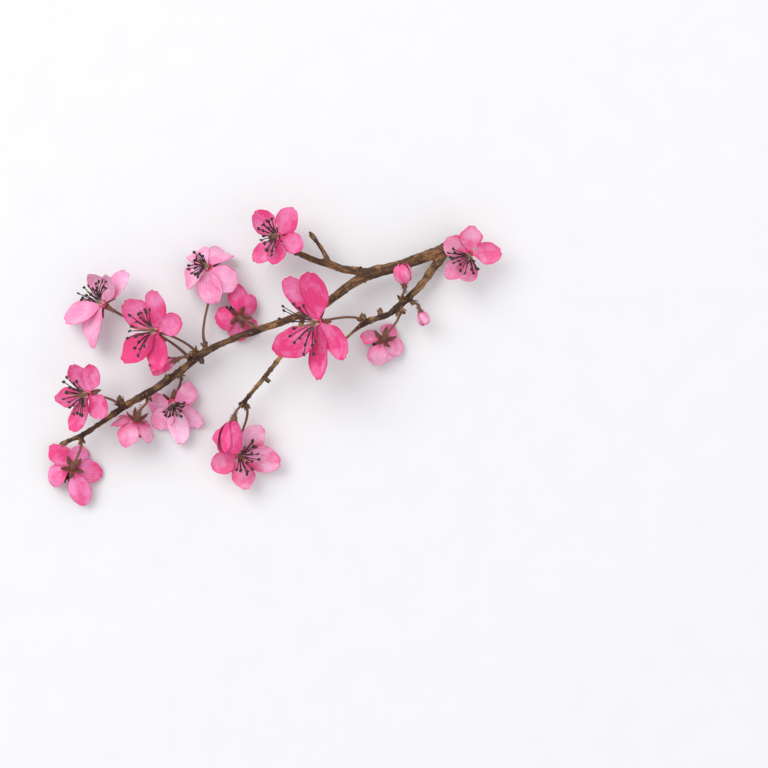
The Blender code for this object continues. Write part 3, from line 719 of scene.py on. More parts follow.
def feed(tree, node, inputs):
    """Links sockets to the node's inputs, and sets numbers and plain colours on them."""
    for key, value in inputs.items():
        if isinstance(value, bpy.types.NodeSocket):
            tree.links.new(value, node.inputs[key])
        else:
            node.inputs[key].default_value = (*value, 1.0) if len(np.shape(value)) else value


def blend(tree, share, first, second):
    """The first colour, turning into the second as share goes from 0 to 1."""
    node = put(tree, "ShaderNodeMix", {"Factor": share}, data_type="RGBA")
    feed(tree, node, {MIX_FIRST: first, MIX_SECOND: second})
    return node.outputs[MIX_RESULT]


def noise(tree, place, scale, detail=4.0, roughness=0.55, distortion=0.0):
    """A cloudy pattern from 0 to 1. A larger scale makes finer clouds."""
    inputs = {
        "Vector": place, "Scale": scale, "Detail": detail, "Roughness": roughness, "Distortion": distortion,
    }
    return put(tree, "ShaderNodeTexNoise", inputs).outputs["Fac"]


def stretched(tree, place, scale):
    """Places drawn together along the axes whose scale is under 1, so that a pattern is long there."""
    return put(tree, "ShaderNodeMapping", {"Vector": place, "Scale": scale}).outputs[0]


def group(name, inputs, outputs, build):
    """A shader node group with these sockets, built once."""
    if name in bpy.data.node_groups:
        return bpy.data.node_groups[name]
    tree = bpy.data.node_groups.new(name, "ShaderNodeTree")
    for label, kind in inputs:
        tree.interface.new_socket(name=label, in_out="INPUT", socket_type=f"NodeSocket{kind}")
    for label, kind in outputs:
        tree.interface.new_socket(name=label, in_out="OUTPUT", socket_type=f"NodeSocket{kind}")
    given, made = tree.nodes.new("NodeGroupInput"), tree.nodes.new("NodeGroupOutput")
    for label, socket in build(tree, given.outputs).items():
        tree.links.new(socket, made.inputs[label])
    return tree


def use(tree, shared, inputs):
    """Places a shared group in the tree with its own inputs."""
    node = put(tree, "ShaderNodeGroup", node_tree=shared)
    feed(tree, node, inputs)
    return node.outputs


def mottle_group():
    """Pigment that gathers in soft patches and fine specks."""

    def build(tree, given):
        soft = noise(tree, given["Place"], given["Scale"], roughness=0.6, distortion=0.4)
        finer = calc(tree, "MULTIPLY", given["Scale"], 7.0)
        fine = noise(tree, given["Place"], finer, detail=3.0, roughness=0.7)
        mixed = calc(tree, "ADD", calc(tree, "MULTIPLY", soft, 0.75), calc(tree, "MULTIPLY", fine, 0.25))
        return {"Patches": step_up(tree, mixed, 0.32, 0.68), "Specks": fine}

    return group(
        "Mottle", (("Place", "Vector"), ("Scale", "Float")),
        (("Patches", "Float"), ("Specks", "Float")), build,
    )


PETAL_VEINS = 8


def petal_pigment_group():
    """Colour and relief of a petal, read along its length and across its width."""

    def build(tree, given):
        split = put(tree, "ShaderNodeSeparateXYZ", {0: given["Spread"]}).outputs
        along, across = split["X"], split["Y"]
        mottle = use(tree, mottle_group(), {"Place": given["Place"], "Scale": 260.0})
        waver = calc(tree, "MULTIPLY", calc(tree, "SUBTRACT", mottle["Specks"], 0.5), 0.06)
        off_middle = calc(tree, "ABSOLUTE", calc(tree, "SUBTRACT", across, 0.5))
        to_side = calc(tree, "SUBTRACT", 0.5, off_middle)
        to_rim = calc(tree, "ADD", calc(tree, "MINIMUM", to_side, calc(tree, "SUBTRACT", 1.0, along)), waver)
        rim = step_up(tree, to_rim, 0.0, 0.05, 1.0, 0.0)
        shade = step_up(tree, to_rim, 0.0, 0.26, 1.0, 0.0)
        throat = step_up(tree, along, 0.04, 0.42, 1.0, 0.0)
        turns = calc(tree, "MULTIPLY", calc(tree, "ADD", across, waver), math.tau * PETAL_VEINS)
        ridges = step_up(tree, calc(tree, "SINE", turns), 0.55, 1.0)
        starting, ending = step_up(tree, along, 0.0, 0.15), step_up(tree, along, 0.55, 0.96, 1.0, 0.0)
        fading = calc(tree, "MULTIPLY", starting, ending)
        midrib = step_up(tree, off_middle, 0.0, 0.03, 1.0, 0.0)
        veins = calc(tree, "MULTIPLY", calc(tree, "MAXIMUM", ridges, midrib), fading)
        broad = noise(tree, given["Place"], 110.0, detail=2.0, roughness=0.5, distortion=0.3)
        pools = step_up(tree, broad, 0.36, 0.64, -0.32, 0.32)
        patches = calc(tree, "MULTIPLY", calc(tree, "SUBTRACT", mottle["Patches"], 0.5), 0.6)
        load = calc(tree, "ADD", given["Tone"], patches)
        load = calc(tree, "ADD", load, pools)
        load = calc(tree, "ADD", load, calc(tree, "MULTIPLY", shade, 0.22))
        load = calc(tree, "ADD", load, calc(tree, "MULTIPLY", throat, given["Throat"]), clamp=True)
        body = blend(tree, load, given["Light"], given["Full"])
        faint_veins = calc(tree, "MULTIPLY", veins, 0.2)
        edged = calc(tree, "ADD", calc(tree, "MULTIPLY", rim, 0.6), faint_veins, clamp=True)
        specks = calc(tree, "MULTIPLY", mottle["Specks"], 0.5)
        height = calc(tree, "ADD", calc(tree, "MULTIPLY", veins, 0.6), specks)
        return {"Color": blend(tree, edged, body, given["Rim"]), "Height": height}

    return group(
        "Petal Pigment",
        (("Spread", "Vector"), ("Place", "Vector"), ("Tone", "Float"), ("Throat", "Float"),
         ("Light", "Color"), ("Full", "Color"), ("Rim", "Color")),
        (("Color", "Color"), ("Height", "Float")), build,
    )


def bark_grain_group():
    """Streaks along the limb, pale pores across it, and dark rings where buds and stalks stand."""

    def build(tree, given):
        place = given["Place"]
        streaks = noise(tree, stretched(tree, place, (0.22, 1, 1)), 900.0, detail=5.0, roughness=0.62)
        fibres = noise(tree, stretched(tree, place, (0.1, 1, 1)), 3600.0, detail=3.0, roughness=0.6)
        patches = noise(tree, place, 150.0, detail=3.0, roughness=0.5, distortion=0.6)
        squeezed = stretched(tree, place, (2.6, 1, 1))
        cells = put(tree, "ShaderNodeTexVoronoi", {"Vector": squeezed, "Scale": 420.0})
        rare = put(tree, "ShaderNodeSeparateColor", {0: cells.outputs["Color"]}).outputs[0]
        pores = calc(tree, "MULTIPLY", step_up(tree, cells.outputs["Distance"], 0.16, 0.27, 1.0, 0.0),
                     step_up(tree, rare, 0.58, 0.62))
        worn = calc(tree, "ADD", streaks, calc(tree, "MULTIPLY", given["Worn"], 0.26))
        worn = step_up(tree, worn, 0.5, 0.66)
        colour_now = blend(tree, worn, given["Brown"], given["Tan"])
        gloom = calc(tree, "ADD", step_up(tree, patches, 0.42, 0.62, 0.75, 0.0), given["Knot"], clamp=True)
        colour_now = blend(tree, gloom, colour_now, given["Dark"])
        furrows = calc(tree, "MULTIPLY", step_up(tree, fibres, 0.42, 0.6, 1.0, 0.0), 0.35)
        colour_now = blend(tree, furrows, colour_now, given["Dark"])
        colour_now = blend(tree, calc(tree, "MULTIPLY", pores, 0.75), colour_now, given["Tan"])
        height = calc(tree, "ADD", calc(tree, "MULTIPLY", streaks, 0.7), calc(tree, "MULTIPLY", fibres, 0.35))
        return {"Color": colour_now, "Height": calc(tree, "ADD", height, calc(tree, "MULTIPLY", pores, 0.5))}

    return group(
        "Bark Grain",
        (("Place", "Vector"), ("Worn", "Float"), ("Knot", "Float"), ("Dark", "Color"), ("Brown", "Color"),
         ("Tan", "Color")),
        (("Color", "Color"), ("Height", "Float")), build,
    )


def new_finish(name, **shader_values):
    """An empty material, its tree, its shader, and Object coordinates.

    Values that are the same all over the surface go on the shader's own sockets.
    """
    finish = bpy.data.materials.new(f"{name}_finish")
    finish.use_nodes = True
    tree = finish.node_tree
    shader = tree.nodes["Principled BSDF"]
    for key, value in shader_values.items():
        shader.inputs[key.replace("_", " ").title().replace("Ior", "IOR")].default_value = value
    place = put(tree, "ShaderNodeTexCoord").outputs["Object"]
    return finish, tree, shader, place


def read(tree, name):
    """The values that a piece carries under this name."""
    return put(tree, "ShaderNodeAttribute", attribute_name=name).outputs


def relief(tree, shader, height, depth):
    """Turns a height of 0 to 1 into relief this deep, in metres."""
    bump = put(tree, "ShaderNodeBump", {"Height": height, "Distance": depth, "Strength": 1.0})
    tree.links.new(bump.outputs[0], shader.inputs["Normal"])


def finish_named(name):
    """The finish of this name, made the first time that it is asked for."""
    return bpy.data.materials.get(f"{name}_finish") or FINISHES[name](name)


def petal_finish(name):
    """Living petal: thin, veined, and washed with colour that gathers towards the rim and the claw."""
    colours = bpy.context.scene.sprig_colours
    tone = name.split("_")[1]
    full, light = getattr(colours, tone), getattr(colours, f"{tone}_light")
    finish, tree, shader, place = new_finish(
        name, roughness=0.6, subsurface_weight=0.12, subsurface_scale=0.5 * MM, sheen_weight=0.05,
        specular_ior_level=0.3,
    )
    shader.inputs["Subsurface Radius"].default_value = (1.0, 0.35, 0.5)
    spread = put(tree, "ShaderNodeUVMap").outputs[0]
    made = use(tree, petal_pigment_group(), {
        "Spread": spread, "Place": place, "Tone": read(tree, "tone")["Fac"], "Throat": THROATS[tone],
        "Light": light, "Full": full, "Rim": colours.rim,
    })
    tree.links.new(made["Color"], shader.inputs["Base Color"])
    relief(tree, shader, made["Height"], 0.12 * MM)
    return finish


def throat_finish(name):
    """The fleshy ring that holds the petals' claws."""
    colours = bpy.context.scene.sprig_colours
    finish, tree, shader, place = new_finish(name, roughness=0.5)
    mottle = use(tree, mottle_group(), {"Place": place, "Scale": 900.0})
    tree.links.new(blend(tree, mottle["Patches"], colours.rim, colours.deep), shader.inputs["Base Color"])
    relief(tree, shader, mottle["Specks"], 0.08 * MM)
    return finish


def stalk_finish(name):
    """Stalks, cups and sepals, flushed with red and darkly speckled."""
    colours = bpy.context.scene.sprig_colours
    finish, tree, shader, place = new_finish(name, roughness=0.55)
    mottle = use(tree, mottle_group(), {"Place": place, "Scale": 380.0})
    patches = calc(tree, "MULTIPLY", mottle["Patches"], 0.5)
    flush = calc(tree, "ADD", patches, read(tree, "flush")["Fac"], clamp=True)
    tinted = blend(tree, flush, colours.stalk, colours.stalk_red)
    speckled = blend(tree, step_up(tree, mottle["Specks"], 0.5, 0.75), tinted, colours.bark_dark)
    tree.links.new(speckled, shader.inputs["Base Color"])
    relief(tree, shader, mottle["Specks"], 0.12 * MM)
    return finish


def bark_finish(name):
    """Bark with its grain along each limb."""
    colours = bpy.context.scene.sprig_colours
    finish, tree, shader, _ = new_finish(name, specular_ior_level=0.3)
    made = use(tree, bark_grain_group(), {
        "Place": read(tree, "limb_place")["Vector"], "Worn": read(tree, "worn")["Fac"],
        "Knot": read(tree, "knot")["Fac"], "Dark": colours.bark_dark, "Brown": colours.bark_brown,
        "Tan": colours.bark_tan,
    })
    tree.links.new(made["Color"], shader.inputs["Base Color"])
    tree.links.new(step_up(tree, made["Height"], 0.2, 1.0, 0.62, 0.9), shader.inputs["Roughness"])
    relief(tree, shader, made["Height"], 0.28 * MM)
    return finish


def scale_finish(name):
    """The papery scales of resting buds, streaked along their length."""
    colours = bpy.context.scene.sprig_colours
    finish, tree, shader, place = new_finish(name, roughness=0.6)
    made = use(tree, bark_grain_group(), {
        "Place": place, "Worn": 0.4, "Knot": 0.12, "Dark": colours.bark_dark, "Brown": colours.bark_brown,
        "Tan": colours.bark_tan,
    })
    tree.links.new(made["Color"], shader.inputs["Base Color"])
    relief(tree, shader, made["Height"], 0.12 * MM)
    return finish


# The cut end, in millimetres from its middle: each growth ring, and where the pith ends and the rind starts
RING_WIDTH = 0.75
PITH = (0.3, 0.5)
RIND = (2.35, 2.5)


def cut_wood_finish(name):
    """Growth rings round the pith, inside a thin dark rind."""
    colours = bpy.context.scene.sprig_colours
    finish, tree, shader, place = new_finish(name, roughness=0.75)
    across = put(tree, "ShaderNodeVectorMath", {0: read(tree, "limb_place")["Vector"], 1: (0, 1, 1)},
                 operation="MULTIPLY").outputs[0]
    out = put(tree, "ShaderNodeVectorMath", {0: across}, operation="LENGTH").outputs["Value"]
    grain = noise(tree, place, 1500.0, detail=3.0)
    wavy = calc(tree, "ADD", out, calc(tree, "MULTIPLY", grain, 0.25 * MM))
    rings = calc(tree, "SINE", calc(tree, "MULTIPLY", wavy, math.tau / (RING_WIDTH * MM)))
    rings = step_up(tree, rings, 0.2, 1.0)
    wood = blend(tree, calc(tree, "MULTIPLY", rings, 0.5), colours.cut_wood, colours.bark_tan)
    pith = step_up(tree, wavy, PITH[0] * MM, PITH[1] * MM, 1.0, 0.0)
    wood = blend(tree, pith, wood, colours.bark_brown)
    rind = step_up(tree, wavy, RIND[0] * MM, RIND[1] * MM)
    wood = blend(tree, rind, wood, colours.bark_dark)
    tree.links.new(wood, shader.inputs["Base Color"])
    relief(tree, shader, grain, 0.1 * MM)
    return finish


def filament_finish(name):
    """Filaments, pale at the foot and dark above it."""
    colours = bpy.context.scene.sprig_colours
    finish, tree, shader, place = new_finish(name, roughness=0.5)
    uneven = calc(tree, "MULTIPLY", noise(tree, place, 600.0), 0.2)
    reach = calc(tree, "ADD", read(tree, "reach")["Fac"], uneven)
    drawn_in = blend(tree, step_up(tree, reach, 0.22, 0.62), colours.filament_foot, colours.filament)
    tree.links.new(drawn_in, shader.inputs["Base Color"])
    return finish


def grainy_finish(name):
    """Anthers, styles and stigmas: one colour broken by fine grains."""
    colours = bpy.context.scene.sprig_colours
    finish, tree, shader, place = new_finish(name, roughness=0.7)
    mottle = use(tree, mottle_group(), {"Place": place, "Scale": 1600.0})
    grains = calc(tree, "MULTIPLY", mottle["Patches"], 0.14)
    tree.links.new(blend(tree, grains, getattr(colours, name), colours.bark_tan), shader.inputs["Base Color"])
    relief(tree, shader, mottle["Specks"], 0.1 * MM)
    return finish


def floor_finish(name):
    """A plain pale table, with the faintest clouding."""
    colours = bpy.context.scene.sprig_colours
    finish, tree, shader, place = new_finish(name, roughness=0.95, specular_ior_level=0.1)
    clouds = step_up(tree, noise(tree, place, 60.0), 0.3, 0.7)
    shaded = [part * TABLE_CLOUDING for part in colours.floor]
    tree.links.new(blend(tree, clouds, colours.floor, shaded), shader.inputs["Base Color"])
    return finish


TABLE_CLOUDING = 0.985
# How strongly each tone of petal gathers colour towards its claw
THROATS = {"deep": 0.1, "mid": 0.3, "pale": 0.2}
FINISHES = {
    "petal_deep": petal_finish, "petal_mid": petal_finish, "petal_pale": petal_finish,
    "throat": throat_finish, "stalk": stalk_finish, "bark": bark_finish, "scale": scale_finish,
    "cut_wood": cut_wood_finish, "filament": filament_finish, "anther": grainy_finish,
    "style": grainy_finish, "floor": floor_finish,
}


# --- The wood ---------------------------------------------------------------------------------------------


# How far the main limb is grown past its cut, in millimetres
PAST_CUT = 4
# Radii of a spur from its root to its tip, and of a resting bud's seat as shares of the bud's own radius
SPUR_RADII = (1.5, 1.25, 1.1, 0.8)
SEAT_RADII = (1.4, 1.1, 0.7)
# Share of the places along a limb that get a collar, and its length and rise over the bark, in millimetres
COLLARS = 0.45
COLLAR_HALF_LENGTH = (0.25, 0.8)
COLLAR_RISE = (0.12, 0.4)
# How the joined limbs are smoothed, and the size of the bark's swellings and of its crust, in millimetres
BARK_SMOOTHING = {"factor": 0.6, "iterations": 9}
BARK_SWELLS, BARK_CRUST, CRUST_SHARE = 4.5, 1.1, 0.35
# Only the face left by the cut has more sides than this
BARK_FACE_SIDES = 8
# How dark the bark is round buds and stalks, and how far that reaches, in millimetres
KNOT_DARKNESS, KNOT_REACH = 0.85, 3.0
# How much of each limb's bark is worn to tan
BARK_WEAR = {"main": 0.25, "upper": 0.2, "side": 0.2, "right": 0.4, "lower": 0.95}


class SPRIG_OT_branch(bpy.types.Operator):
    """Grows the limbs, joins them at the forks, and cuts the thick end"""

    bl_idname = "sprig.branch"
    bl_label = "Branch"

    cut_slope: bpy.props.FloatProperty(name="Cut slope", description="Slope of the cut", default=0.55)

    def execute(self, context):
        sizes = context.scene.sprig_sizes
        parts = [self.limb(name, stations) for name, stations in LIMBS.items()]
        parts.append(rods("spurs", self.spurs(), rings=4, smoothness=4))
        parts.append(rods("collars", self.collars(), rings=4, smoothness=2))
        branch = join("branch_wood", parts)
        finish_with(branch, "REMESH", mode="VOXEL", voxel_size=sizes.bark_voxel)
        finish_with(branch, "SMOOTH", **BARK_SMOOTHING)
        roughen(branch, "bark swell", BARK_SWELLS, sizes.bark_relief)
        roughen(branch, "bark crust", BARK_CRUST, CRUST_SHARE * sizes.bark_relief)
        self.cut(branch)
        rest_on_table(branch)
        self.mark_bark(branch)
        smooth(branch, 40)
        hand_in(branch, "branch", "bark", finish_named("bark"), finish_named("cut_wood"))
        return {"FINISHED"}

    def limb(self, name, stations):
        points = [at(station[:3]) for station in stations]
        radii = [station[3] * MM for station in stations]
        if name == "main":
            points[0] += (points[0] - points[1]).normalized() * PAST_CUT * MM
        return rods(f"limb_{name}", [(points, radii)], rings=5, smoothness=6)

    def spurs(self):
        """The short spurs under the stalks, and the seats of the resting buds."""
        lines = []
        for bloom in (*BLOSSOMS.values(), *BUDS.values()):
            centre, tip, way = spur_of(bloom)
            points = [centre, centre.lerp(tip, 0.6), tip - way * 0.3, tip]
            lines.append(([at(p) for p in points], [radius * MM for radius in SPUR_RADII]))
        for limb, place, way, length, radius in RESTING_BUDS:
            centre, girth, _ = nearest(limb, place)
            way = Vector(way).normalized()
            points = [centre, centre + way * girth, centre + way * (girth + 0.3 * length)]
            lines.append(([at(p) for p in points], [radius * share * MM for share in SEAT_RADII]))
        return lines

    def collars(self):
        """The ringed scars that each year's growth leaves round a limb."""
        draw = random.Random("collars")
        lines = []
        for line in LINES.values():
            for k in range(2, len(line) - 2):
                if draw.random() < COLLARS:
                    place = line[k].xyz.lerp(line[k + 1].xyz, draw.random())
                    run = (line[k + 1] - line[k - 1]).xyz.normalized() * draw.uniform(*COLLAR_HALF_LENGTH)
                    girth = line[k].w + draw.uniform(*COLLAR_RISE)
                    lines.append(([at(place - run), at(place), at(place + run)],
                                  [0.9 * girth * MM, girth * MM, 0.88 * girth * MM]))
        return lines

    def cut(self, branch):
        """Cuts the thick end on the slant, and gives the cut face its own material."""
        first, second = LINES["main"][:2]
        out = (first.xyz - second.xyz).normalized()
        side = out.cross(Vector((0, 0, 1))).normalized()
        with editing(branch) as mesh:
            bpy.ops.mesh.select_all(action="SELECT")
            bpy.ops.mesh.bisect(plane_co=at(first.xyz), plane_no=(out - side * self.cut_slope).normalized(),
                                use_fill=True, clear_outer=True, threshold=WELD)
            shape = bmesh.from_edit_mesh(mesh)
            for face in shape.faces:
                face.material_index = int(len(face.verts) > BARK_FACE_SIDES)
            bmesh.update_edit_mesh(mesh)

    def mark_bark(self, branch):
        """Stores where each point of the bark lies along and across its limb, and how near a bud or stalk."""
        points = vertices_of(branch)
        best = np.full(len(points), np.inf)
        place = np.zeros((len(points), 3))
        worn = np.zeros(len(points))
        start = 0.0
        for name, line in LINES.items():
            side = (line[1].xyz - line[0].xyz).orthogonal().normalized()
            for low, high in zip(line, line[1:]):
                run = high.xyz - low.xyz
                way = run.normalized()
                side = (side - way * side.dot(way)).normalized()
                offset = points - np.array(at(low.xyz))
                share = np.clip(offset @ np.array(way) / (run.length * MM), 0, 1)
                across = offset - np.outer(share, np.array(run) * MM)
                gap = np.linalg.norm(across, axis=1) - (low.w + (high.w - low.w) * share) * MM
                closer = gap < best
                best[closer] = gap[closer]
                place[closer, 0] = start + share[closer] * run.length * MM
                place[closer, 1] = across[closer] @ np.array(side)
                place[closer, 2] = across[closer] @ np.array(way.cross(side))
                worn[closer] = BARK_WEAR[name]
                start += run.length * MM
        roots = [nearest(bloom.limb, bloom.root)[0] for bloom in (*BLOSSOMS.values(), *BUDS.values())]
        roots += [nearest(limb, spot)[0] for limb, spot, *_ in RESTING_BUDS]
        near = np.min([np.linalg.norm(points - np.array(at(root)), axis=1) for root in roots], axis=0)
        mark(branch, "knot", KNOT_DARKNESS * np.exp(-((near / (KNOT_REACH * MM)) ** 2)))
        mark(branch, "worn", worn)
        layer = branch.data.attributes.new(name="limb_place", type="FLOAT_VECTOR", domain="POINT")
        layer.data.foreach_set("vector", place.astype(np.float32).ravel())


# The heart of a resting bud, in shares of its length and radius
RESTING_HEART = ((0.0, 0.7), (0.3, 1.0), (0.65, 0.75), (0.9, 0.35), (1.0, 0.08))
# The two rings of scales round a resting bud, as (how many, share of the bud's length)
SCALE_RINGS = ((3, 0.62), (3, 0.9))
# How the scales of resting buds, and those round the foot of each stalk, are cupped and bent, in degrees
RESTING_SCALE = {"roll": 8, "cup": 105, "bend": 62, "lift": 58}
STALK_SCALE = {"length": 2.4 * MM, "width": 1.7 * MM, "roll": 10, "cup": 80, "bend": 20, "lift": 52}
SCALE_THICKNESS = 0.16


class SPRIG_OT_resting_buds(bpy.types.Operator):
    """Adds next year's resting buds and the papery scales round the foot of each stalk"""

    bl_idname = "sprig.resting_buds"
    bl_label = "Resting buds and scales"

    def execute(self, context):
        unit = plate("unit_scale", SCALE_OUTLINE, SCALE_GRID)
        core = spindle("unit_core", RESTING_HEART, 10)
        hearts, parts = [], []
        for k, (limb, place, way, length, radius) in enumerate(RESTING_BUDS):
            centre, girth, _ = nearest(limb, place)
            way = Vector(way).normalized()
            foot = at(centre + way * girth * 0.8)
            tall, wide = (length + 0.4) * MM, radius * MM
            heart = copy_of(core, f"resting_core_{k}")
            heart.data.transform(Matrix.Diagonal((wide * 0.8, wide * 0.8, tall, 1)))
            hearts.append(stand(heart, foot, way))
            for tier, (count, share) in enumerate(SCALE_RINGS):
                parts += crown(
                    unit, f"resting_scale_{k}_{tier}", count, foot + way * 0.12 * tall * tier, way,
                    wide * 0.62, turn=60 * tier + 25 * k, length=tall * share, width=wide * 2.1,
                    **RESTING_SCALE,
                )
        for k, bloom in enumerate((*BLOSSOMS.values(), *BUDS.values())):
            _, tip, way = spur_of(bloom)
            parts += crown(
                unit, f"stalk_scale_{k}", 4, at(tip - way * 0.7), way, 0.75 * MM, turn=31 * k, **STALK_SCALE,
            )
        for spare in (unit, core):
            bpy.data.objects.remove(spare)
        scales = join("bud_scales", parts)
        finish_with(scales, "SOLIDIFY", thickness=SCALE_THICKNESS * MM, offset=0.0)
        buds = join("resting_buds", [scales, *hearts])
        smooth(buds, 50)
        buds.data.materials.append(finish_named("scale"))
        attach(buds, BODY)
        return {"FINISHED"}


# --- Blossoms ---------------------------------------------------------------------------------------------


# Below this half angle, in radians, a petal's arc is as long as its chord
NEARLY_FLAT = 0.01
# The ring at the petals' claws, in millimetres: its radius, its thickness and its points round each way
THROAT_RADIUS, THROAT_GIRTH = 1.5, 0.6
THROAT_POINTS = (20, 10)


def open_petal(unit, name, hub, facing, petal, finish, seed):
    """One petal, bent so that its tip reaches where the table of blossoms says."""
    reach = direction(petal.azimuth, petal.rise)
    outward = (reach - facing * reach.dot(facing)).normalized()
    along = petal.length * reach.dot(outward) - CLAW_AT
    up = petal.length * reach.dot(facing)
    half = math.atan2(up, along)
    # A plate bent by twice this angle is as long as its arc, and the arc's chord reaches the tip
    length = math.hypot(along, up) * (half / math.sin(half) if abs(half) > NEARLY_FLAT else 1.0)
    draw = random.Random(seed)
    piece = bent(
        unit, name, length * MM, petal.width * MM, cup=PETAL_CUP * draw.uniform(*PETAL_CUP_RANGE),
        bend=math.degrees(2 * half), twist=draw.uniform(-PETAL_TWIST, PETAL_TWIST),
    )
    mark(piece, "tone", petal.tone)
    piece.data.materials.append(finish)
    return seat(piece, hub + outward * CLAW_AT * MM, outward, facing, PETAL_ROLL)


class SPRIG_OT_petals(bpy.types.Operator):
    """Opens the five petals of every blossom"""

    bl_idname = "sprig.petals"
    bl_label = "Open petals"

    def execute(self, context):
        sizes = context.scene.sprig_sizes
        units = {}
        for k, kind in enumerate(PETAL_KINDS):
            for narrow in (False, True):
                name = f"unit_petal_{k}_{narrow}"
                tip = TIP_ROUND[narrow]
                units[k, narrow] = plate(name, PETAL_OUTLINE, PETAL_GRID, tip, *kind, wave=RIM_WAVE)
        for order, (name, blossom) in enumerate(BLOSSOMS.items()):
            hub, facing = at(blossom.hub), Vector(blossom.facing).normalized()
            finish = finish_named(f"petal_{blossom.tone}")
            petals = [
                open_petal(units[(order + k) % len(PETAL_KINDS), petal.width < NARROW * petal.length],
                           f"{name}_petal_{k}", hub, facing, petal, finish, order * 10 + k)
                for k, petal in enumerate(blossom.petals)
            ]
            crown_piece = join(f"{name}_petal_crown", petals)
            roughen(crown_piece, "petal ruffle", RUFFLE_SIZE, sizes.petal_ruffle, vertex_group="ruffle")
            thicken(crown_piece, sizes.petal_thickness)
            whole = join(f"{name}_petal_crown", [crown_piece, self.throat(name, hub, facing)])
            rest_on_table(whole)
            smooth(whole)
            hand_in(whole, f"{name}_petals", f"petal_{blossom.tone}")
        for unit in units.values():
            bpy.data.objects.remove(unit)
        return {"FINISHED"}

    def throat(self, name, hub, facing):
        """The fleshy ring that holds the petals' claws, flattened and not quite round."""
        around, across = THROAT_POINTS
        bpy.ops.object.select_all(action="DESELECT")
        bpy.ops.mesh.primitive_torus_add(major_segments=around, minor_segments=across,
                                         major_radius=THROAT_RADIUS * MM, minor_radius=THROAT_GIRTH * MM)
        ring = bpy.context.object
        ring.name = f"{name}_throat"
        with editing(ring) as mesh:
            bpy.ops.mesh.select_all(action="SELECT")
            bpy.ops.transform.resize(value=(1, 1, 0.75), center_override=(0, 0, 0))
            choose(mesh, lambda vertex: vertex.index % (2 * across) < across)
            bpy.ops.transform.resize(value=(1.04, 0.97, 1), center_override=(0, 0, 0))
        ring.data.materials.append(finish_named("throat"))
        return stand(ring, hub, facing)


# The stalk's radius from the spur to the cup, as shares of the stalk's own
STALK_SWELL = (1.35, 1.05, 0.95, 0.92, 0.92, 0.95, 1.02, 1.15)
# How red each part is, from 0 to 1
STALK_FLUSH, CUP_FLUSH, SEPAL_FLUSH, DOWN_FLUSH = 0.1, 0.35, 0.6, 0.0
# Sepals fold back under an open blossom and clasp a bud. Lengths are in millimetres, angles in degrees, and
# they stand so far below the hub and out from its middle.
SEPAL_LENGTH, SEPAL_WIDTH, SEPAL_THICKNESS = 4.9, 2.5, 0.34
SEPALS_AT = (1.15, 1.45)
OPEN_SEPAL = {"cup": 70, "lift": -8, "bend": -46}
BUD_SEPAL = {"cup": 70, "lift": 62, "bend": 26}
# A bud this thick, as radius in millimetres, has a cup as wide as a blossom's
FULL_BUD = 4.0


class SPRIG_OT_stalks(bpy.types.Operator):
    """Adds the stalk, cup and sepals of every blossom and bud"""

    bl_idname = "sprig.stalks"
    bl_label = "Stalks, cups and sepals"

    def execute(self, context):
        sepal = plate("unit_sepal", SEPAL_OUTLINE, SEPAL_GRID)
        for order, (name, bloom) in enumerate({**BLOSSOMS, **BUDS}.items()):
            self.calyx(context, name, bloom, sepal, order)
        bpy.data.objects.remove(sepal)
        return {"FINISHED"}

    def calyx(self, context, name, bloom, sepal, order):
        radius = context.scene.sprig_sizes.stalk_radius
        closed = isinstance(bloom, Bud)
        _, tip, way = spur_of(bloom)
        hub, facing, foot = cup_foot(bloom)
        line = arc(tip - way * 0.3, way, foot, facing, len(STALK_SWELL) - 1)
        radii = [radius * swell for swell in STALK_SWELL]
        stalk = rods(f"{name}_stem", [([at(p) for p in line], radii)], rings=4, smoothness=6)
        mark(stalk, "flush", STALK_FLUSH)
        length = CUP_LENGTH * (BUD_CUP if closed else 1.0)
        girth = min(1.0, bloom.radius / FULL_BUD) if closed else 1.0
        profile = [(height * length * MM, width * girth * MM) for height, width in CUP_PROFILE]
        cup = spindle(f"{name}_cup", profile, 10, refine=2)
        mark(cup, "flush", CUP_FLUSH)
        stand(cup, at(foot), facing)
        below, out = SEPALS_AT
        sepal_length = 0.5 * bloom.length if closed else SEPAL_LENGTH
        sepals = crown(
            sepal, f"{name}_sepal", 5, at(hub - facing * below), facing, out * girth * MM,
            turn=36 + 17 * order, length=sepal_length * MM, width=SEPAL_WIDTH * max(girth, 0.8) * MM,
            **(BUD_SEPAL if closed else OPEN_SEPAL),
        )
        fuzz = self.down(name, facing, foot, girth, length)
        mark(fuzz, "flush", DOWN_FLUSH)
        leaves = join(f"{name}_sepals", sepals)
        mark(leaves, "flush", SEPAL_FLUSH)
        thicken(leaves, SEPAL_THICKNESS * MM)
        whole = join(f"{name}_stalk_and_cup", [stalk, cup, leaves, fuzz])
        rest_on_table(whole)
        smooth(whole)
        hand_in(whole, f"{name}_calyx", "stalk", finish_named("stalk"))

    def down(self, name, facing, foot, girth, length):
        """Short hairs on the cup and on the end of the stalk."""
        draw = random.Random(name)
        side = facing.orthogonal().normalized()
        heights, widths = zip(*CUP_PROFILE)
        lines = []
        for _ in range(HAIRS):
            share = draw.uniform(*HAIR_PLACES)
            out = Matrix.Rotation(draw.uniform(0, math.tau), 3, facing) @ side
            radius = float(np.interp(share, heights, widths)) * girth
            start = foot + facing * share * length + out * (radius - 0.1)
            lean = (out + facing * draw.uniform(*HAIR_LEANS)).normalized()
            end = start + lean * draw.uniform(*HAIR_LENGTHS)
            lines.append(([at(start), at(end)], [HAIR_RADIUS * MM, HAIR_TAPER * HAIR_RADIUS * MM]))
        return rods(f"{name}_down", lines, rings=0, smoothness=1)


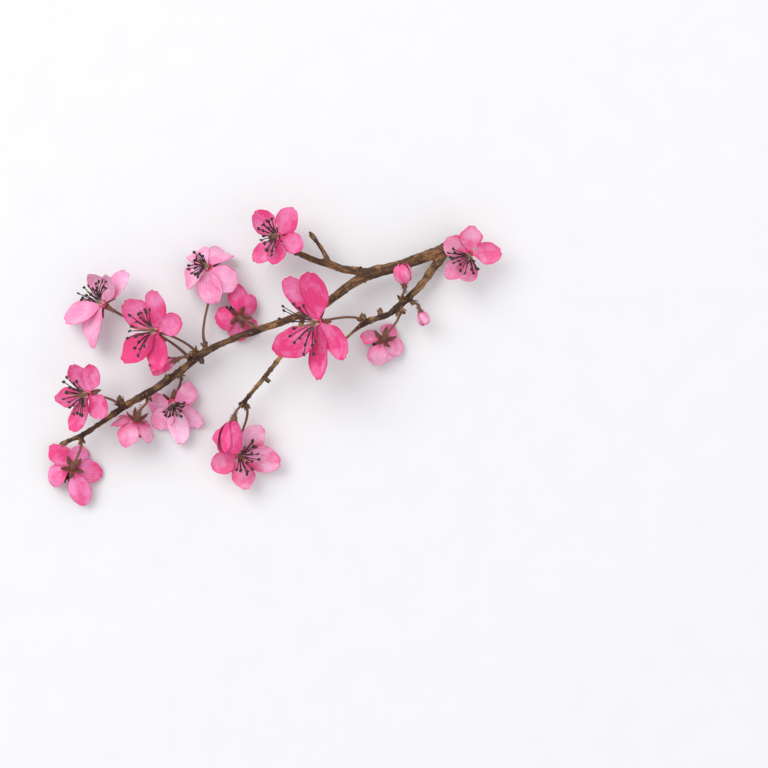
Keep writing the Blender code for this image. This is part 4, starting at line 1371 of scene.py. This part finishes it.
# Each stamen turns this share of a circle on from the last, so that they spread evenly
GOLDEN_TURN = 0.382
# The fan is wider than it is deep
FAN_SHAPE = (1.5, 0.7)
# How far filaments stand from the hub's middle and above it, and their lengths as shares of the fan's
FILAMENT_SEAT, FILAMENT_FOOT, FILAMENT_LENGTHS = (0.6, 1.3), 0.35, (0.72, 1.04)
# How far a filament rises along the hub's facing before it bends, and how far it may bend sooner
FILAMENT_BOW, FILAMENT_STRAY = 0.42, 0.12
# Places along a filament, and its radius there as shares of the filament's own
FILAMENT_SHARES = (0.0, 0.3, 0.6, 0.85, 1.0)
FILAMENT_TAPER = (1.25, 1.0, 0.85, 0.8, 0.75)
# An anther's width, depth and length as shares of its ball, and how its groove is pinched
ANTHER_SHAPE = (0.78, 0.55, 1.0)
GROOVE_SHAPE = (1, 0.5, 0.86)
GROOVE_HALF_WIDTH = 0.08
# How far an anther leans over on its filament
ANTHER_LEAN = (0.2, 1.1)


class SPRIG_OT_stamens(bpy.types.Operator):
    """Fans out the stamens of every blossom"""

    bl_idname = "sprig.stamens"
    bl_label = "Stamens"

    def execute(self, context):
        anther = self.unit_anther(context.scene.sprig_sizes.anther_length)
        for name, blossom in BLOSSOMS.items():
            self.fan(context, name, blossom, anther)
        bpy.data.objects.remove(anther)
        return {"FINISHED"}

    def unit_anther(self, length):
        """Two lobes side by side, with a groove between them."""
        bpy.ops.object.select_all(action="DESELECT")
        bpy.ops.mesh.primitive_uv_sphere_add(segments=8, ring_count=6, radius=0.5 * length)
        anther = bpy.context.object
        anther.name = "unit_anther"
        with editing(anther) as mesh:
            bpy.ops.mesh.select_all(action="SELECT")
            bpy.ops.transform.resize(value=ANTHER_SHAPE, center_override=(0, 0, 0))
            choose(mesh, lambda vertex: abs(vertex.co.x) < GROOVE_HALF_WIDTH * length)
            bpy.ops.transform.resize(value=GROOVE_SHAPE, center_override=(0, 0, 0))
        anther.data.materials.append(finish_named("anther"))
        return anther

    def fan(self, context, name, blossom, anther):
        """Filaments that leave the hub along its facing and bend over the fan's way, with their anthers."""
        radius = context.scene.sprig_sizes.filament_radius
        draw = random.Random(name)
        hub, facing = Vector(blossom.hub), Vector(blossom.facing).normalized()
        fan = blossom.fan
        middle = direction(fan.azimuth, fan.rise)
        wide, deep = FAN_SHAPE
        flat = middle.cross(Vector((0, 0, 1))).normalized()
        steep = flat.cross(middle)
        lines, tips = [], []
        for k in range(STAMENS):
            round_about = math.tau * GOLDEN_TURN * k
            lean = math.tan(math.radians(fan.spread)) * math.sqrt((k + 0.5) / STAMENS)
            way = middle + (flat * wide * math.cos(round_about) + steep * deep * math.sin(round_about)) * lean
            way.normalize()
            seat_way = (way - facing * way.dot(facing)).normalized()
            start = hub + seat_way * draw.uniform(*FILAMENT_SEAT) + facing * FILAMENT_FOOT
            length = fan.length * draw.uniform(*FILAMENT_LENGTHS)
            end = hub + way * length
            bow = start + facing * FILAMENT_BOW * length + way * draw.uniform(0.0, FILAMENT_STRAY) * length
            points = [drawn(start, bow, end, share) for share in FILAMENT_SHARES]
            lines.append(([at(p) for p in points], [radius * taper for taper in FILAMENT_TAPER]))
            tips.append((end, (end - points[-2]).normalized()))
        filaments = rods(f"{name}_filaments", lines, rings=2, smoothness=4)
        points = vertices_of(filaments) - np.array(at(hub))
        mark(filaments, "reach", np.linalg.norm(points, axis=1) / (fan.length * MM))
        filaments.data.materials.append(finish_named("filament"))
        heads = []
        for k, (end, way) in enumerate(tips):
            head = copy_of(anther, f"{name}_anther_{k}")
            tilt = (way + way.orthogonal().normalized() * draw.uniform(*ANTHER_LEAN)).normalized()
            tilt.rotate(Matrix.Rotation(draw.uniform(0, math.tau), 3, way))
            heads.append(stand(head, at(end), tilt, turn=draw.uniform(0, 180)))
        whole = join(f"{name}_stamen_fan", [filaments, *heads])
        rest_on_table(whole)
        smooth(whole)
        hand_in(whole, f"{name}_stamens", "stamen")


# Places along a pistil from its ovary to its stigma, and its radius there in millimetres
PISTIL_SHARES = (0.0, 0.12, 0.25, 0.6, 0.9, 0.97, 1.0)
PISTIL_RADII = (0.55, 0.62, 0.3, 0.22, 0.22, 0.5, 0.42)
# A pistil's reach as a share of the stamens', and how far it leans from the hub's facing towards them
PISTIL_REACH, PISTIL_LEAN = 0.92, 0.4


class SPRIG_OT_pistils(bpy.types.Operator):
    """Adds the pistil of each blossom that shows one"""

    bl_idname = "sprig.pistils"
    bl_label = "Pistils"

    def execute(self, context):
        for name, blossom in BLOSSOMS.items():
            if blossom.pistil:
                self.pistil(name, blossom)
        return {"FINISHED"}

    def pistil(self, name, blossom):
        hub, facing = Vector(blossom.hub), Vector(blossom.facing).normalized()
        reach = blossom.fan.length * PISTIL_REACH
        aim = facing.lerp(direction(blossom.fan.azimuth, blossom.fan.rise), PISTIL_LEAN)
        start, end = hub - facing * 0.3, hub + aim * reach
        bow = start + facing * 0.5 * reach
        points = [drawn(start, bow, end, share) for share in PISTIL_SHARES]
        radii = [radius * MM for radius in PISTIL_RADII]
        piece = rods(f"{name}_style", [([at(p) for p in points], radii)], rings=3, smoothness=5)
        smooth(piece, 70)
        hand_in(piece, f"{name}_pistil", "pistil", finish_named("style"))


# The heart inside a bud's petals, in shares of its length and radius
BUD_HEART = ((0.0, 0.3), (0.2, 0.66), (0.45, 0.84), (0.7, 0.72), (0.9, 0.4), (0.99, 0.1))
# Tone of each of a bud's five petals and of its heart
BUD_TONES = (0.55, 0.8, 0.5, 0.7, 0.6, 1.0)
# Radius of the ring that a bud's petals stand on, and the length from foot to tip, as shares of the bud's
BUD_FOOT, BUD_CHORD = 0.34, 0.98
# How far each petal wraps over the next, as a share of its fifth of the way round, and its cup and roll
BUD_WRAP, BUD_PETAL_CUP, BUD_PETAL_ROLL = 1.6, 138, 10
# How much a bud's petals are ruffled, as a share of an open blossom's
BUD_RUFFLE = 0.25


class SPRIG_OT_buds(bpy.types.Operator):
    """Wraps the folded petals of every closed bud"""

    bl_idname = "sprig.buds"
    bl_label = "Closed buds"

    def execute(self, context):
        sizes = context.scene.sprig_sizes
        unit = plate("unit_bud_petal", PETAL_OUTLINE, PETAL_GRID, TIP_ROUND[True], *BUD_PETAL_KIND)
        for order, (name, bud) in enumerate(BUDS.items()):
            hub, facing = Vector(bud.hub), Vector(bud.facing).normalized()
            finish = finish_named(f"petal_{bud.tone}")
            base = hub - facing * 0.5
            foot_radius = BUD_FOOT * bud.radius
            # Each petal is an arc that leaves the ring, swells to the bud's radius and comes back to it
            swell = bud.radius - foot_radius
            chord = bud.length * BUD_CHORD
            bow = (chord**2 / 4 + swell**2) / (2 * swell)
            half = math.asin(chord / 2 / bow)
            petals = crown(
                unit, f"{name}_fold", 5, at(base), facing, foot_radius * MM, turn=40 * order,
                roll=BUD_PETAL_ROLL, length=2 * bow * half * MM,
                width=BUD_WRAP * math.tau * bud.radius / 5 * MM, cup=BUD_PETAL_CUP,
                bend=math.degrees(2 * half), lift=90 - math.degrees(half),
            )
            profile = [(height * chord * MM, radius * bud.radius * MM) for height, radius in BUD_HEART]
            heart = stand(spindle(f"{name}_heart", profile, 12), at(base), facing)
            for piece, tone in zip((*petals, heart), BUD_TONES):
                mark(piece, "tone", tone)
                piece.data.materials.append(finish)
            folded = join(f"{name}_folds", petals)
            roughen(folded, "petal ruffle", RUFFLE_SIZE, BUD_RUFFLE * sizes.petal_ruffle,
                    vertex_group="ruffle")
            thicken(folded, sizes.petal_thickness)
            whole = join(f"{name}_folded_petals", [folded, heart])
            smooth(whole)
            hand_in(whole, f"{name}_petals", f"petal_{bud.tone}")
        bpy.data.objects.remove(unit)
        return {"FINISHED"}


# --- Table, light and camera ------------------------------------------------------------------------------


TABLE_SIZE = 6.0
# Where each soft round light stands over the sprig, and its diameter, in metres
KEY_PLACE, FILL_PLACE, LIGHT_SIZE = (-1.05, 1.05, 2.0), (1.6, -1.0, 1.5), 2.0
SKY_COLOUR = (0.97, 0.975, 1.0, 1.0)


class SPRIG_OT_stage(bpy.types.Operator):
    """Lays the table, and adds the soft light and the camera that looks straight down"""

    bl_idname = "sprig.stage"
    bl_label = "Table, light and camera"

    def execute(self, context):
        scene = context.scene
        studio = scene.sprig_studio
        bpy.ops.object.select_all(action="DESELECT")
        bpy.ops.mesh.primitive_plane_add(size=TABLE_SIZE)
        floor = context.object
        floor.name = "table"
        floor.data.materials.append(finish_named("floor"))
        self.light(context, "key_light", KEY_PLACE, studio.key_power)
        self.light(context, "fill_light", FILL_PLACE, studio.fill_power)
        world = scene.world or bpy.data.worlds.new("surround")
        scene.world = world
        world.use_nodes = True
        sky = world.node_tree.nodes["Background"]
        sky.inputs["Color"].default_value = SKY_COLOUR
        sky.inputs["Strength"].default_value = studio.sky_strength
        scene.view_settings.view_transform = "Standard"
        bpy.ops.object.camera_add()
        camera = context.object
        camera.name = "camera"
        camera.data.lens = studio.lens
        height = studio.view_width * studio.lens / camera.data.sensor_width
        camera.location = Vector(studio.view_centre) + Vector((0, 0, height))
        camera.rotation_euler = (0, 0, 0)
        camera.data.clip_start, camera.data.clip_end = 0.01, 20.0
        scene.camera = camera
        return {"FINISHED"}

    def light(self, context, name, place, power):
        """A soft round light that faces the middle of the sprig."""
        bpy.ops.object.light_add(type="AREA", location=place)
        light = context.object
        light.name = name
        light.data.shape = "DISK"
        light.data.size = LIGHT_SIZE
        light.data.energy = power
        light.rotation_euler = (-Vector(place)).to_track_quat("-Z", "Y").to_euler()


# --- Panel and registration -------------------------------------------------------------------------------


class VIEW3D_PT_sprig(bpy.types.Panel):
    """The sprig's settings and the steps that build it"""

    bl_label = "Cherry Blossom Sprig"
    bl_space_type = "VIEW_3D"
    bl_region_type = "UI"
    bl_category = "Sprig"

    def draw(self, context):
        layout = self.layout
        for held_as in SETTINGS:
            box = layout.box()
            box.label(text=held_as.removeprefix("sprig_").title())
            settings = getattr(context.scene, held_as)
            for name in type(settings).__annotations__:
                box.prop(settings, name)
        for step in STEPS:
            layout.operator(step.bl_idname)


STEPS = (
    SPRIG_OT_branch, SPRIG_OT_resting_buds, SPRIG_OT_petals, SPRIG_OT_stalks, SPRIG_OT_stamens,
    SPRIG_OT_pistils, SPRIG_OT_buds, SPRIG_OT_stage,
)
SETTINGS = {"sprig_sizes": SprigSizes, "sprig_colours": SprigColours, "sprig_studio": StudioSettings}


def register():
    for kind in (*SETTINGS.values(), *STEPS, VIEW3D_PT_sprig):
        bpy.utils.register_class(kind)
    for name, kind in SETTINGS.items():
        setattr(bpy.types.Scene, name, bpy.props.PointerProperty(type=kind))


def unregister():
    for name in SETTINGS:
        delattr(bpy.types.Scene, name)
    for kind in (VIEW3D_PT_sprig, *reversed(STEPS), *reversed(SETTINGS.values())):
        bpy.utils.unregister_class(kind)


def main():
    register()
    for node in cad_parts.values():
        node.select_set(False)
    for step in STEPS:
        family, name = step.bl_idname.split(".")
        getattr(getattr(bpy.ops, family), name)()


if __name__ == "__main__":
    main()
